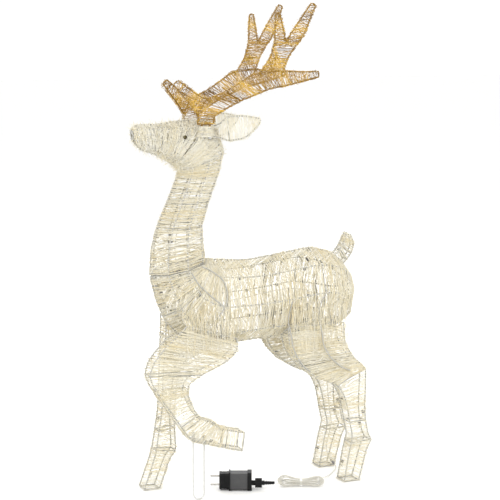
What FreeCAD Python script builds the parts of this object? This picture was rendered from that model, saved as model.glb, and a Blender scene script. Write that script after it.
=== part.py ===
import FreeCAD, Part
import math
import os

V = FreeCAD.Vector

# A standing yard reindeer: bent wire frames wound with thread, lit by a string of small bulbs.
# Millimetres, +Z up, the nose towards -X and the deer's left side towards -Y. The outlines are drawn
# from a point midway between the front and hind hooves, and every piece is then moved by DRAWN_TO_ROW,
# which puts the row's origin under the middle of the deer.
DRAWN_TO_ROW = V(4.6, 0, 0)

# Wire, thread and running gaps
WIRE_R = 1.5             # frame wire
SKIN = 2.0               # depth of the wound thread
WIRE_GAP = 0.3           # between a wire and the thread wound over it
LEG_Y = 59.0             # middle of each leg from the deer's middle plane
LEG_TOP_TILT = 0.55      # a leg's top section follows the belly: its outer side stands higher
WELD_GAP = 0.15          # between a hoop and the rails it is tacked to
HOOP_BEND_R = 3.0
SOLE = WIRE_R + WIRE_GAP   # height of the hoof wires' middle line at the ground
RUNNING_GAP = 0.06       # round a post, rod or shaft that slides or turns

# Each section runs from a front (or lower) point to a rear (or upper) point in the middle plane:
# front x, z, rear x, z, half width. The torso's first section is the seam that the neck plugs onto.
TORSO = [
    (-224, 461, -105, 490, 56),
    (-214, 420, -101.5, 489.5, 63),
    (-197, 376, -98, 489, 68),
    (-167, 339, -94.5, 488.6, 73),
    (-127, 317, -90.5, 488.3, 77),
    (-85, 307, -86, 488, 80),
    (-12, 314, -12, 482, 80),
    (61, 316, 61, 491, 80),
    (135, 325, 135, 501, 80),
    (184, 323, 184, 488, 72),
    (213, 337, 213, 464, 50),
    (233, 396, 233, 421, 17),
]
TORSO_HOOPS = (0, 2, 5, 7, 8, 9, 11)
NECK = [
    (-224.9, 464.5, -105.9, 493.5, 56),
    (-222.5, 512, -110, 528, 54),
    (-209, 562, -113, 562, 51),
    (-187, 610, -97, 611, 47),
    (-165, 662, -77, 660, 43),
    (-162, 677, -63, 708, 44),
]
HEAD = [
    (-162, 677, -63, 708, 44),
    (-165, 682, -77, 752, 46),
    (-172, 687, -110, 776, 45),
    (-190, 698, -160, 774, 38),
    (-206, 707, -202, 768, 30),
    (-243, 720, -247, 768, 21),
    (-258, 736, -261, 760, 10),
]
NECK_HOOPS = (0, 2, 3, 5)
HEAD_HOOPS = (1, 3, 4, 6)
# where the eight corners of such a section stand: part of the way from front to rear, part of the
# half width
ROUND_FRACTIONS = [(0.0, 0.0), (0.2, 0.8), (0.52, 1.0), (0.84, 0.74),
                   (1.0, 0.0), (0.84, -0.74), (0.52, -1.0), (0.2, -0.8)]
FLAT_FRACTIONS = [(0.0, 1.0), (1.0, 1.0), (1.0, -1.0), (0.0, -1.0)]
EDGE_FRACTIONS = [(0.0, 0.0), (1.0, 0.0)]

# Legs: the same five numbers, for a frame with four rails
HIND_UPPER = [
    (50, 338, 178, 340, 17),
    (54, 305, 182, 306, 16),
    (68, 278, 194, 284, 15),
    (90, 254, 207, 267, 14),
    (124, 232, 221, 256, 14),
    (168, 214, 234, 243, 14),
]
HIND_LOWER = [
    (169, 213, 234.5, 241, 14),
    (184, 189, 234, 200, 14),
    (192, 160, 232, 164, 14),
    (197, 130, 235, 130, 14),
    (204, 100, 241, 101, 14),
    (201, 84, 249, 87, 15),
    (197, 70, 238, 69, 15),
    (184, SOLE, 219, SOLE, 16),
]
FRONT_UPPER = [
    (-174, 360, -66, 326, 17),
    (-175, 338, -62, 309, 16),
    (-177, 305, -91, 287, 15),
    (-179, 272, -140, 266, 14),
]
FRONT_LOWER = [
    (-179, 270, -141, 264, 14),
    (-181, 230, -150, 228, 13),
    (-184, 166, -157, 166, 13),
    (-191, 123, -157, 128, 13),
    (-198, 82, -154, 79, 14),
    (-202, 67, -168, 64, 14),
    (-226, SOLE, -192, SOLE, 16),
]
LIFTED_UPPER = [
    (-174, 360, -66, 326, 17),
    (-198, 346, -64, 309, 16),
    (-227, 321, -90, 287, 15),
    (-247, 296, -118, 276, 15),
    (-254, 272, -142, 266, 15),
]
LIFTED_LOWER = [
    (-254.3, 270.5, -142.5, 264.5, 15),
    (-246, 250, -170, 250, 14),
    (-225, 218, -174, 229, 14),
    (-200, 181, -159, 193, 14),
    (-180, 152, -144, 173, 14),
    (-164, 130, -116, 164, 14),
]
LIFTED_HOOF = [
    (-162.5, 129, -114.5, 163, 14),
    (-131, 121, -106, 150, 14),
    (-90, 108, -84, 144, 15),
    (-53, 98, -48, 135, 16),
]
LEG_TOPS = (HIND_UPPER[0], FRONT_UPPER[0])

EAR = [
    (-89, 770, -89, 741, 4.5), (-74, 783, -70, 735, 5),
    (-40, 785, -34, 740, 4.5), (-6, 778, -5, 771, 3),
]
EAR_ROOT_Y = 47.0
EAR_SPLAY = 0.12         # the ear stands this much further out for each millimetre back
TAIL = [
    (195, 484, 211, 462, 9), (204, 494, 219, 471, 9), (209, 503, 231, 484, 9),
    (215, 513, 237, 503, 8), (221, 529, 230, 524, 5),
]

ANTLER_Y = 41.0
ANTLER_FOOT_X = -115.0
ANTLER_SPLAY = 0.17      # the same for the antler, counted from its foot
ANTLER_BEAM = [
    (-134, 769, -102, 769, 5.5), (-133, 787, -101, 785, 5.5), (-119, 817, -77, 799, 5.5),
    (-77, 833, -47, 815, 5.5), (-47, 851, -16, 827, 5.5), (-18, 869, 10, 838, 5.5),
    (36, 874, 45, 844, 5), (76, 871, 77, 852, 4.5), (114, 872, 114, 861, 3.5),
]
ANTLER_FRONT_TINE = [(-106, 812, -131, 782, 5), (-136, 828, -145, 803, 4.5), (-173, 856, -182, 848, 3.5)]
ANTLER_BRANCH = [(-12, 862, 36, 864, 5), (14, 899, 48, 898, 5), (23, 929, 69, 929, 5)]
ANTLER_REAR_FORK = [
    (44, 927, 69, 927, 5), (58, 951, 83, 946, 4.5), (77, 979, 93, 972, 4), (98, 1009, 107, 1005, 3.5),
]
ANTLER_FRONT_FORK = [(23, 927, 46, 927, 5), (23, 957, 40, 957, 4), (25, 988, 33, 989, 3.5)]
# each limb with the sections where a cross wire joins its two edge wires
ANTLER_LIMBS = [(ANTLER_BEAM, (0, 3, 8)), (ANTLER_FRONT_TINE, (2,)), (ANTLER_BRANCH, (1,)),
                (ANTLER_REAR_FORK, (3,)), (ANTLER_FRONT_FORK, (2,))]

# Plug-in joints between the sections
POST_R = 2.5
SLEEVE_WALL = 1.2
SLEEVE_ROOM_R = POST_R + RUNNING_GAP + SLEEVE_WALL + 0.3   # the thread parts round a sleeve
LEG_POST = 26.0
HIND_POST_X = (76.0, 160.0)
FRONT_POST_X = (-150.0, -92.0)
NECK_POST = 28.0
ANTLER_POST = 25.0
ANTLER_POST_X = (-126.0, -110.0)

# Prop under the lifted hoof
PROP_R = 2.0
PROP_BEND_R = 12.0
PROP_X = -144.0
PROP_TOPS = (146.0, 136.0)
PROP_SLEEVE = 20.0
PROP_PLATE = ((-163, 131.5), (-131.5, 123))

# Bulbs on the LED string
BULB_R = 2.4
BULB_LENGTH = 8.0
HOLDER_R = 2.9
HOLDER_LENGTH = 5.0
LEAD_R = 0.85            # the thin clear two-core lead
LED_LEAD_BODY = [(-170, 0, 448), (-150, 0, 424), (-120, 0, 408), (-70, 0, 398), (-20, 0, 402), (40, 0, 412),
                 (95, 0, 416), (135, 0, 408), (160, 10, 390), (171, 30, 368), (174, 52, 336), (174, 59, 300),
                 (193, 59, 255), (207, 59, 215), (211, 59, 170), (216, 59, 125), (222, 59, 94), (214, 59, 66),
                 (208, 58, 42), (210, 55, 24), (214.6, 48.5, 12.5)]
LED_LEAD_HEAD = [(-166.9, 0, 486.3), (-170, 0, 500), (-170, 0, 530), (-158, 0, 575), (-140, 0, 620),
                 (-118, 0, 660), (-118, 0, 700), (-140, 0, 728), (-180, 0, 738), (-225, 0, 744)]
LEAD_TIES = [(-95, 402.9, -0.2), (10, 407, 0.17), (67, 414, 0.07)]
CONNECTOR_SEAT = (-164, 0, 474)
CONNECTOR_R = 3.0
CONNECTOR_WALL_LENGTH = 20.0
CONNECTOR_PLUG_DEPTH = 14.0
EYE = (-163, 43.0, 744)
EYE_R = 4.0

# Plug-in adapter: it lies along ADAPTER_TURN on the floor, and its own x runs from the pins' tips
ADAPTER_TURN = -24.0
ADAPTER_AT = V(-95.6, -3.1, 20.0)
PIN_R = 2.0
PIN_PITCH = 18.6
PIN_LENGTH = 19.0
PIN_ROOT = 8.0           # how far a pin goes into the housing
HOUSING_END = 39.0
FLANGE_END = 42.0
SHELL_END = 78.0
CAP_END = 87.0
SOCKET_END = 101.0
NUT_START = 94.0
NUT_END = 108.5
TAIL_END = 135.0
OUTPUT_DROP = 6.0        # the output socket's axis is this far below the casing's
# half width, half height and corner radius of each moulded block, outside and inside
HOUSING_BLOCK = (13.0, 17.0, 5.0)
HOUSING_INSIDE = (10.0, 14.0, 4.0)
FLANGE_BLOCK = (17.0, 20.0, 7.0)
SHELL_BLOCK = (15.0, 17.5, 4.0)
SHELL_INSIDE = (13.2, 15.7, 3.0)
CAP_BLOCK = (17.0, 19.5, 6.0)
CAP_INSIDE = (14.0, 16.5, 4.0)
CAP_WALL = 1.8
GRIP_GROOVES = (24.0, 28.0, 32.0)
GRIP_GROOVE_WIDTH = 1.6
GRIP_GROOVE_DEPTH = 1.0
SOCKET_R = 5.5
SOCKET_BORE_R = 3.4
NUT_R = 10.0
NUT_LIP = 4.0            # length of the nut's inner lip
NUT_LIP_R = 4.0
NUT_FLUTES = 12
NUT_FLUTE_R = 1.1
PLUG_CONTACT_R = 3.3
PLUG_COLLAR_R = 5.2
PLUG_NECK_R = 4.0
TAIL_TIP_R = 3.0
TAIL_RINGS = 4
TAIL_RING_STEP = 4.5

# Free lead from the far hind hoof to the tied hank, and on to the lead plug's tail
LEAD_TO_HANK = [
    (217, 36, 7), (218, 29, 3), (213, 20, 1.0), (203, 8, 1.0), (190, -6, 1.0),
    (175, -21, 1.5), (160, -36, 4.5), (149, -49, 8.5), (140, -60, 10.5),
]
LEAD_TO_PLUG = [(52.5, -47.5, 9.5), (45, -54, 10), (36.5, -59.5, 12), (27.7, -58, 14)]
CLIP_R = 2.3
HANK_CENTRE = V(88.6, -60, 0)
# each section's place along the hank, half width, lowest and highest point
HANK_STATIONS = [
    (-53, 6, 5, 17), (-45, 16, 1, 23), (-28, 21, 0.4, 25.5), (-11, 12, 1, 19), (0, 6.5, 2, 14.5),
    (11, 11, 1, 17), (28, 19, 0.4, 22), (44, 16, 0.6, 20), (52, 6, 4, 15),
]
WAIST_LENGTH = 4.4       # the tie's width along the hank
WAIST_HEIGHT = 8.3
WAIST_BLOCK = (8.0, 7.6, 4.0)
WAIST_CORE = (6.2, 5.8, 3.4)


def export(name, shape):
    """Write one piece, moved into the row's frame, and print what it is."""
    placed = shape.copy()
    placed.translate(DRAWN_TO_ROW)
    placed.exportStep("parts/" + name + ".step")
    box = placed.optimalBoundingBox(False, False)
    print(name, "solids", len(placed.Solids), "valid", placed.isValid(), "volume", round(placed.Volume, 1),
          "box", [round(c, 1) for c in (box.XMin, box.XMax, box.YMin, box.YMax, box.ZMin, box.ZMax)])


def path(points, print_radii=False):
    """A wire of straight runs joined by tangent arcs as large as the runs allow."""
    edges = []
    start = points[0]
    radii = []
    for before, corner, after in zip(points, points[1:], points[2:]):
        into = (corner - before).normalize()
        away = (after - corner).normalize()
        turn = into.getAngle(away)
        if turn < math.radians(0.6):
            continue
        back = 0.45 * min((corner - before).Length, (after - corner).Length)
        radius = back / math.tan(turn / 2)
        radii.append(radius)
        arc_start = corner - into * back
        arc_end = corner + away * back
        middle = (away - into).normalize()
        arc_middle = corner + middle * (radius / math.cos(turn / 2) - radius)
        edges.append(Part.LineSegment(start, arc_start).toShape())
        edges.append(Part.Arc(arc_start, arc_middle, arc_end).toShape())
        start = arc_end
    edges.append(Part.LineSegment(start, points[-1]).toShape())
    if print_radii:
        print("  smallest radius", round(min(radii), 1), "largest", round(max(radii), 1))
    return Part.Wire(edges)


def rod(points, radius=WIRE_R, print_radii=False):
    """A round rod along a path of runs and tangent arcs."""
    points = [V(*p) for p in points]
    spine = path(points, print_radii)
    circle = Part.Wire(Part.makeCircle(radius, points[0], points[1] - points[0]))
    return spine.makePipeShell([circle], True, False)


def bar(start, end, radius=WIRE_R):
    """A straight round bar between two points."""
    start = V(*start)
    run = V(*end) - start
    return Part.makeCylinder(radius, run.Length, start, run)


def weld(pieces):
    """Fuse touching pieces into one."""
    return pieces[0].multiFuse(pieces[1:]).removeSplitter()


def without_scraps(shape):
    """The largest solid of a winding: the holes for sleeves leave loose scraps inside it."""
    return max(shape.Solids, key=lambda solid: solid.Volume)


def mirrored(shape):
    """The same piece on the deer's other side."""
    return shape.mirror(V(0, 0, 0), V(0, 1, 0))


def corners(station, fractions, y=0.0, grow=0.0, splay=0.0, splay_from=0.0):
    """Corner points of one section, grown outwards all round."""
    front_x, front_z, rear_x, rear_z, half = station
    front = V(front_x, 0, front_z)
    rear = V(rear_x, 0, rear_z)
    along = (rear - front).normalize() * grow
    front = front - along
    rear = rear + along
    result = []
    for part, side in fractions:
        point = front + (rear - front) * part
        leaning = splay * (point.x - splay_from)
        result.append(V(point.x, y + math.copysign(leaning, leaning * y) + side * (half + grow), point.z))
    return result


def round_rings(stations, grow=0.0):
    """Eight-cornered sections round the deer's middle plane."""
    return [corners(station, ROUND_FRACTIONS, 0.0, grow) for station in stations]


def leg_rings(stations, side, grow=0.0):
    """Four-cornered sections of a leg on one side, -1 for the left and 1 for the right."""
    rings = [corners(station, FLAT_FRACTIONS, side * LEG_Y, grow) for station in stations]
    if stations[0] in LEG_TOPS:
        rings[0] = [V(p.x, p.y, p.z + LEG_TOP_TILT * (abs(p.y) - LEG_Y)) for p in rings[0]]
    return rings


def loft(rings):
    """A closed solid with straight sides between polygons."""
    wires = [Part.makePolygon(ring + [ring[0]]) for ring in rings]
    return Part.makeLoft(wires, True, True)


def skin(rings_at):
    """Thread wound over a frame: a thin shell that is open at its ends."""
    return loft(rings_at(WIRE_R + WIRE_GAP + SKIN)).cut(loft(rings_at(WIRE_R + WIRE_GAP)))


def hoop(ring):
    """A closed bent wire that lies against the inside of the rails at the corners of a ring."""
    count = len(ring)
    corner_points = []
    for i, point in enumerate(ring):
        before = (ring[i - 1] - point).normalize()
        after = (ring[(i + 1) % count] - point).normalize()
        inward = (before + after).normalize()
        half_angle = inward.getAngle(after)
        shift = HOOP_BEND_R + 2 * WIRE_R + WELD_GAP - HOOP_BEND_R / math.sin(half_angle)
        corner_points.append(point + inward * shift)
    edges = []
    for i, corner in enumerate(corner_points):
        to_before = corner_points[i - 1] - corner
        to_after = corner_points[(i + 1) % count] - corner
        half_turn = (math.pi - to_before.getAngle(to_after)) / 2
        back = HOOP_BEND_R * math.tan(half_turn)
        start = corner + V(to_before).normalize() * back
        end = corner + V(to_after).normalize() * back
        inward = (V(to_before).normalize() + V(to_after).normalize()).normalize()
        apex = corner + inward * (HOOP_BEND_R / math.cos(half_turn) - HOOP_BEND_R)
        edges.append((start, apex, end))
    shapes = []
    for i, (start, apex, end) in enumerate(edges):
        shapes.append(Part.Arc(start, apex, end).toShape())
        shapes.append(Part.LineSegment(end, edges[(i + 1) % count][0]).toShape())
    spine = Part.Wire(shapes)
    first = edges[0][0]
    tangent = shapes[0].tangentAt(shapes[0].FirstParameter)
    circle = Part.Wire(Part.makeCircle(WIRE_R, first, tangent))
    return spine.makePipeShell([circle], True, False)


def rails(rings):
    """One wire through each corner of the rings."""
    return [rod([ring[i] for ring in rings]) for i in range(len(rings[0]))]


def tube(base, axis, length, post_radius):
    """A sleeve with a running fit round a post."""
    bore = post_radius + RUNNING_GAP
    outer = Part.makeCylinder(bore + SLEEVE_WALL, length, base, axis)
    return outer.cut(Part.makeCylinder(bore, length, base, axis))


def height_at(station, x):
    """Height of a section's line from front to rear at a place along it."""
    front_x, front_z, rear_x, rear_z, _ = station
    return front_z + (rear_z - front_z) * (x - front_x) / (rear_x - front_x)


def post_y(x):
    """How far out a leg's post stands: just inside the torso's lower side rail."""
    ring_points = [ring[1] for ring in round_rings(TORSO)]
    for near, far in zip(ring_points, ring_points[1:]):
        if near.x <= x <= far.x:
            rail = near + (far - near) * ((x - near.x) / (far.x - near.x))
            return rail.y - WIRE_R - POST_R - RUNNING_GAP - SLEEVE_WALL - WELD_GAP
    return LEG_Y


def leg(stations, side, hoop_indices, post_xs):
    """One leg's wire frame with its two plug-in posts."""
    rings = leg_rings(stations, side)
    pieces = rails(rings) + [hoop(rings[i]) for i in hoop_indices]
    top = stations[0]
    half = top[4] - 3 * WIRE_R - 2 * WELD_GAP
    for x in post_xs:
        z = height_at(top, x)
        cross = bar((x, side * (LEG_Y - half), z), (x, side * (LEG_Y + half), z))
        post = bar((x, side * post_y(x), z), (x, side * post_y(x), z + LEG_POST), POST_R)
        pieces.append(cross.fuse(post))
    return Part.Compound(pieces)


def build_torso():
    """Torso rails, hoops and winding."""
    rings = round_rings(TORSO)
    export("torso_rails", Part.Compound(rails(rings)))
    export("torso_hoops", Part.Compound([hoop(rings[i]) for i in TORSO_HOOPS]))
    winding = skin(lambda grow: round_rings(TORSO, grow))
    for base, length in leg_sleeve_places():
        winding = winding.cut(Part.makeCylinder(SLEEVE_ROOM_R, length, base))
    export("torso_winding", without_scraps(winding))


def leg_sleeve_places():
    """Where the torso's sleeves for the leg posts stand, and how long they are."""
    places = []
    for side in (-1, 1):
        for stations, post_xs in ((HIND_UPPER, HIND_POST_X), (FRONT_UPPER, FRONT_POST_X)):
            for x in post_xs:
                z = height_at(stations[0], x) + WIRE_R + 1.0
                places.append((V(x, side * post_y(x), z), LEG_POST))
    return places


def seam_axis():
    """The way the neck lifts off the torso: square to the seam between them."""
    front_x, front_z, rear_x, rear_z, _ = TORSO[0]
    along = V(rear_x - front_x, 0, rear_z - front_z).normalize()
    return V(-along.z, 0, along.x)


def neck_post_points():
    """Where the three neck posts stand in the seam: one at the front and one at each side."""
    ring = round_rings(TORSO[:1])[0]
    centre = sum(ring, V(0, 0, 0)) * (1.0 / len(ring))
    inset = 3 * WIRE_R + POST_R + SLEEVE_WALL + RUNNING_GAP + 4 * WELD_GAP
    return [p + (centre - p).normalize() * inset for p in (ring[0], ring[2], ring[6])]


def build_head():
    """Head and neck: one frame that plugs onto the torso, with its windings."""
    axis = seam_axis()
    rings = round_rings(NECK + HEAD[1:])
    export("head_neck_rails", Part.Compound(rails(rings)))
    hoops = [hoop(round_rings(NECK)[i]) for i in NECK_HOOPS]
    hoops += [hoop(round_rings(HEAD)[i]) for i in HEAD_HOOPS]
    seam_lift = (V(NECK[0][0], 0, NECK[0][1]) - V(TORSO[0][0], 0, TORSO[0][1])).dot(axis)
    for point in neck_post_points():
        top = point + axis * (seam_lift + POST_R)
        hoops.append(bar(top, point - axis * NECK_POST, POST_R))
    export("head_neck_hoops", Part.Compound(hoops))
    depth = NECK_POST + 2
    sleeves = [tube(point - axis * depth, axis, depth, POST_R) for point in neck_post_points()]
    sleeves += [tube(base, V(0, 0, 1), length, POST_R) for base, length in leg_sleeve_places()]
    export("post_sleeves", Part.Compound(sleeves))
    export("neck_winding", skin(lambda grow: round_rings(NECK, grow)))
    winding = skin(lambda grow: round_rings(HEAD, grow))
    for side in (-1, 1):
        for x in ANTLER_POST_X:
            winding = winding.cut(Part.makeCylinder(SLEEVE_ROOM_R, 60, V(x, side * antler_y(x), 735)))
    export("head_winding", without_scraps(winding))


def to_floor(rings):
    """A hoof's last section is drawn down onto the ground; other sections stay as they are."""
    if abs(rings[-1][0].z - SOLE) < 0.01:
        rings[-1] = [V(p.x, p.y, 0) for p in rings[-1]]
    return rings


def build_legs():
    """Four legs: frames, windings and the torso's sleeves for their posts."""
    hind = HIND_UPPER + HIND_LOWER[1:]
    for side, name in ((-1, "left"), (1, "right")):
        export("hind_leg_frame_" + name, leg(hind, side, (0, 3, 5, 8, 10, 12), HIND_POST_X))
    export("front_leg_frame_right", leg(FRONT_UPPER + FRONT_LOWER[1:], 1, (0, 3, 6, 7, 9), FRONT_POST_X))
    lifted = LIFTED_UPPER + LIFTED_LOWER[1:] + LIFTED_HOOF[1:]
    export("front_leg_frame_left", leg(lifted, -1, (0, 4, 8, 11, 12), FRONT_POST_X))

    windings = [
        ("hind_thigh_winding_left", HIND_UPPER, -1), ("hind_thigh_winding_right", HIND_UPPER, 1),
        ("hind_shank_winding_left", HIND_LOWER, -1), ("hind_shank_winding_right", HIND_LOWER, 1),
        ("front_arm_winding_right", FRONT_UPPER, 1), ("front_shank_winding_right", FRONT_LOWER, 1),
        ("front_arm_winding_left", LIFTED_UPPER, -1), ("front_shank_winding_left", LIFTED_LOWER, -1),
        ("front_hoof_winding_left", LIFTED_HOOF, -1),
    ]
    for name, stations, side in windings:
        shape = skin(lambda grow: to_floor(leg_rings(stations, side, grow)))
        if stations is LIFTED_HOOF:
            for x in prop_xs():
                shape = shape.cut(Part.makeCylinder(PROP_R + 1.0, 80, V(x, -LEG_Y, 90)))
        export(name, without_scraps(shape))


def prop_xs():
    """The two uprights of the prop."""
    return (PROP_X - PROP_BEND_R, PROP_X + PROP_BEND_R)


def build_prop():
    """The U-shaped prop and the plate with its two grip sleeves inside the lifted leg."""
    foot = PROP_BEND_R + PROP_R
    bend = Part.makeTorus(PROP_BEND_R, PROP_R, V(PROP_X, -LEG_Y, foot), V(0, 1, 0))
    bend = bend.common(Part.makeBox(60, 20, foot, V(PROP_X - 30, -LEG_Y - 10, 0)))
    shape = bend
    for x, top in zip(prop_xs(), PROP_TOPS):
        shape = shape.fuse(Part.makeCylinder(PROP_R, top - foot, V(x, -LEG_Y, foot)))
    export("prop", shape)

    half = LIFTED_HOOF[0][4] - WIRE_R - WELD_GAP
    start, end = PROP_PLATE
    lower = [V(start[0], -LEG_Y - half, start[1]), V(end[0], -LEG_Y - half, end[1])]
    upper = [point + V(0, 0, SLEEVE_WALL) for point in reversed(lower)]
    shape = Part.Face(Part.makePolygon(lower + upper + lower[:1])).extrude(V(0, 2 * half, 0))
    for x, top in zip(prop_xs(), PROP_TOPS):
        base = V(x, -LEG_Y, top - PROP_SLEEVE - 1)
        shape = shape.fuse(Part.makeCylinder(PROP_R + RUNNING_GAP + SLEEVE_WALL, PROP_SLEEVE, base))
    for x in prop_xs():
        shape = shape.cut(Part.makeCylinder(PROP_R + RUNNING_GAP, 90, V(x, -LEG_Y, 80)))
    export("prop_sleeves", shape)


def outline(stations, y, splay, splay_from, closing):
    """The two edge wires of a flat piece, with cross wires that touch them at some sections."""
    thin = [station[:4] + (0,) for station in stations]
    rings = [corners(station, EDGE_FRACTIONS, y, 0, splay, splay_from) for station in thin]
    pieces = [rod([ring[edge] for ring in rings]) for edge in (0, 1)]
    for index in closing:
        front, rear = rings[index]
        inset = (rear - front).normalize() * (WIRE_R + WELD_GAP)
        pieces.append(bar(front + inset, rear - inset))
    return pieces


def flat_winding(stations, y, splay, splay_from):
    """The thread wound on a flat piece, as a plain closed solid round its edge wires."""
    return loft([corners(s, FLAT_FRACTIONS, y, WIRE_R + SKIN / 2, splay, splay_from) for s in stations])


def build_ears():
    """Two ears: leaf-shaped wires wound with thread, with root wires that reach the head."""
    pieces = outline(EAR, -EAR_ROOT_Y, EAR_SPLAY, EAR[0][0], (1, 3))
    for z, drop in ((EAR[0][1], -5), (EAR[0][3], 3)):
        start = V(EAR[0][0] - WELD_GAP, -EAR_ROOT_Y, z)
        pieces.append(bar(start, start + V(-9, 9, drop)))
    ear_frame = Part.Compound(pieces)
    winding = flat_winding(EAR, -EAR_ROOT_Y, EAR_SPLAY, EAR[0][0])
    for name, change in (("left", lambda s: s), ("right", mirrored)):
        export("ear_frame_" + name, change(ear_frame))
        export("ear_winding_" + name, change(winding))


def build_tail():
    """The upright tail."""
    rings = [corners(station, FLAT_FRACTIONS) for station in TAIL]
    pieces = rails(rings) + [hoop(rings[i]) for i in (1, 2)]
    export("tail_frame", Part.Compound(pieces))
    export("tail_winding", skin(lambda grow: [corners(s, FLAT_FRACTIONS, 0.0, grow) for s in TAIL]))


def antler_y(x):
    """How far out an antler stands at a place along the deer."""
    return ANTLER_Y + ANTLER_SPLAY * (x - ANTLER_FOOT_X)


def build_antlers():
    """Two branched antlers that plug into sleeves in the head."""
    pieces = []
    solids = []
    for stations, closing in ANTLER_LIMBS:
        pieces += outline(stations, -ANTLER_Y, ANTLER_SPLAY, ANTLER_FOOT_X, closing)
        solids.append(flat_winding(stations, -ANTLER_Y, ANTLER_SPLAY, ANTLER_FOOT_X))
    foot = ANTLER_BEAM[0][1]
    sleeves = []
    for x in ANTLER_POST_X:
        y = -antler_y(x)
        pieces.append(bar((x, y, foot - WIRE_R - WELD_GAP), (x, y, foot - ANTLER_POST), POST_R))
        base = V(x, y, foot - WIRE_R - 3 - ANTLER_POST)
        sleeves.append(tube(base, V(0, 0, 1), ANTLER_POST, POST_R))
    antler_frame = Part.Compound(pieces)
    winding = weld(solids)
    for name, change in (("left", lambda s: s), ("right", mirrored)):
        export("antler_frame_" + name, change(antler_frame))
        export("antler_winding_" + name, change(winding))
    export("antler_sleeves", Part.Compound(sleeves + [mirrored(s) for s in sleeves]))


def bulb_places(rings, picks):
    """Bulb places beside the rails, midway between two rings, with the way along the rail."""
    places = []
    for ring_index, corner in picks:
        near, far = rings[ring_index], rings[ring_index + 1]
        centre = sum(near + far, V(0, 0, 0)) * (0.5 / len(near))
        middle = (near[corner] + far[corner]) * 0.5
        along = (far[corner] - near[corner]).normalize()
        inward = centre - middle
        inward = (inward - along * inward.dot(along)).normalize()
        places.append((middle + inward * (WIRE_R + HOLDER_R + WELD_GAP), along))
    return places


def bulb(point, along):
    """One bulb with a domed tip, lying along a wire."""
    body = Part.makeCylinder(BULB_R, BULB_LENGTH - BULB_R, point, along)
    return body.fuse(Part.makeSphere(BULB_R, point + along * (BULB_LENGTH - BULB_R)))


def holder(point, along):
    """The dark holder at a bulb's foot."""
    return Part.makeCylinder(HOLDER_R, HOLDER_LENGTH, point - along * HOLDER_LENGTH, along)


def build_lights():
    """The LED string: bulbs, holders, the leads between them and the connector at the neck."""
    torso = round_rings(TORSO)
    places = bulb_places(torso, [(i, c) for i in (5, 6, 7, 8) for c in (2, 3, 5, 6)])
    places += bulb_places(torso, [(i, c) for i in (1, 5, 6, 7) for c in (1, 7)])
    places += bulb_places(torso, [(1, 0), (2, 2), (2, 6), (4, 2), (4, 6)])
    for side in (-1, 1):
        hind = leg_rings(HIND_UPPER + HIND_LOWER[1:], side)
        places += bulb_places(hind, [(2, 0), (2, 3), (6, 0), (7, 2), (8, 1), (11, 0)])
    places += bulb_places(leg_rings(FRONT_UPPER + FRONT_LOWER[1:], 1), [(1, 0), (4, 2), (5, 0), (8, 3)])
    lifted = LIFTED_UPPER + LIFTED_LOWER[1:] + LIFTED_HOOF[1:]
    places += bulb_places(leg_rings(lifted, -1), [(1, 0), (5, 0), (6, 2), (10, 0)])
    head_places = bulb_places(round_rings(NECK), [(i, c) for i in (0, 1, 2, 3) for c in (1, 2, 6, 7)])
    head_places += bulb_places(round_rings(HEAD), [(2, 2), (2, 6), (3, 1), (3, 7), (4, 4)])
    for name, group in (("body", places), ("head", head_places)):
        export(name + "_bulbs", Part.Compound([bulb(p, along) for p, along in group]))
        export(name + "_bulb_holders", Part.Compound([holder(p, along) for p, along in group]))
    export("led_lead_body", rod(LED_LEAD_BODY, LEAD_R, True))
    export("led_lead_head", rod(LED_LEAD_HEAD, LEAD_R, True))

    axis = seam_axis()
    seat = V(*CONNECTOR_SEAT)
    depth = CONNECTOR_WALL_LENGTH
    socket = tube(seat - axis * depth, axis, depth, CONNECTOR_R)
    socket = socket.fuse(Part.makeCylinder(CONNECTOR_R + 1, 3, seat - axis * (depth + 2.5), axis))
    export("neck_led_socket", socket)
    base = seat - axis * CONNECTOR_PLUG_DEPTH
    plug = Part.makeCylinder(CONNECTOR_R, CONNECTOR_PLUG_DEPTH + 1, base, axis)
    plug = plug.fuse(Part.makeCylinder(CONNECTOR_R + 1.2, 12, seat + axis * 0.5, axis))
    export("neck_led_plug", plug)

    ties = [Part.makeTorus(LEAD_R + 0.65, 0.6, V(x, 0, z), V(1, 0, slope)) for x, z, slope in LEAD_TIES]
    export("lead_ties", Part.Compound(ties))
    eyes = [Part.makeSphere(EYE_R, V(EYE[0], side * EYE[1], EYE[2])) for side in (-1, 1)]
    export("eye_beads", Part.Compound(eyes))


def rounded_box(x0, x1, half_y, half_z, radius):
    """A block along x with its four long edges rounded."""
    box = Part.makeBox(x1 - x0, 2 * half_y, 2 * half_z, V(x0, -half_y, -half_z))
    edges = [e for e in box.Edges if abs(e.tangentAt(e.FirstParameter).x) > 0.99]
    return box.makeFillet(radius, edges)


def along_x(radius, x0, x1, z=0.0):
    """A round bar along the adapter's own x."""
    return Part.makeCylinder(radius, x1 - x0, V(x0, 0, z), V(1, 0, 0))


def place_adapter(shape):
    """Turn and move a piece from the adapter's own frame onto the floor."""
    placed = shape.copy()
    placed.rotate(V(0, 0, 0), V(0, 0, 1), ADAPTER_TURN)
    placed.translate(ADAPTER_AT)
    return placed


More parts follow.
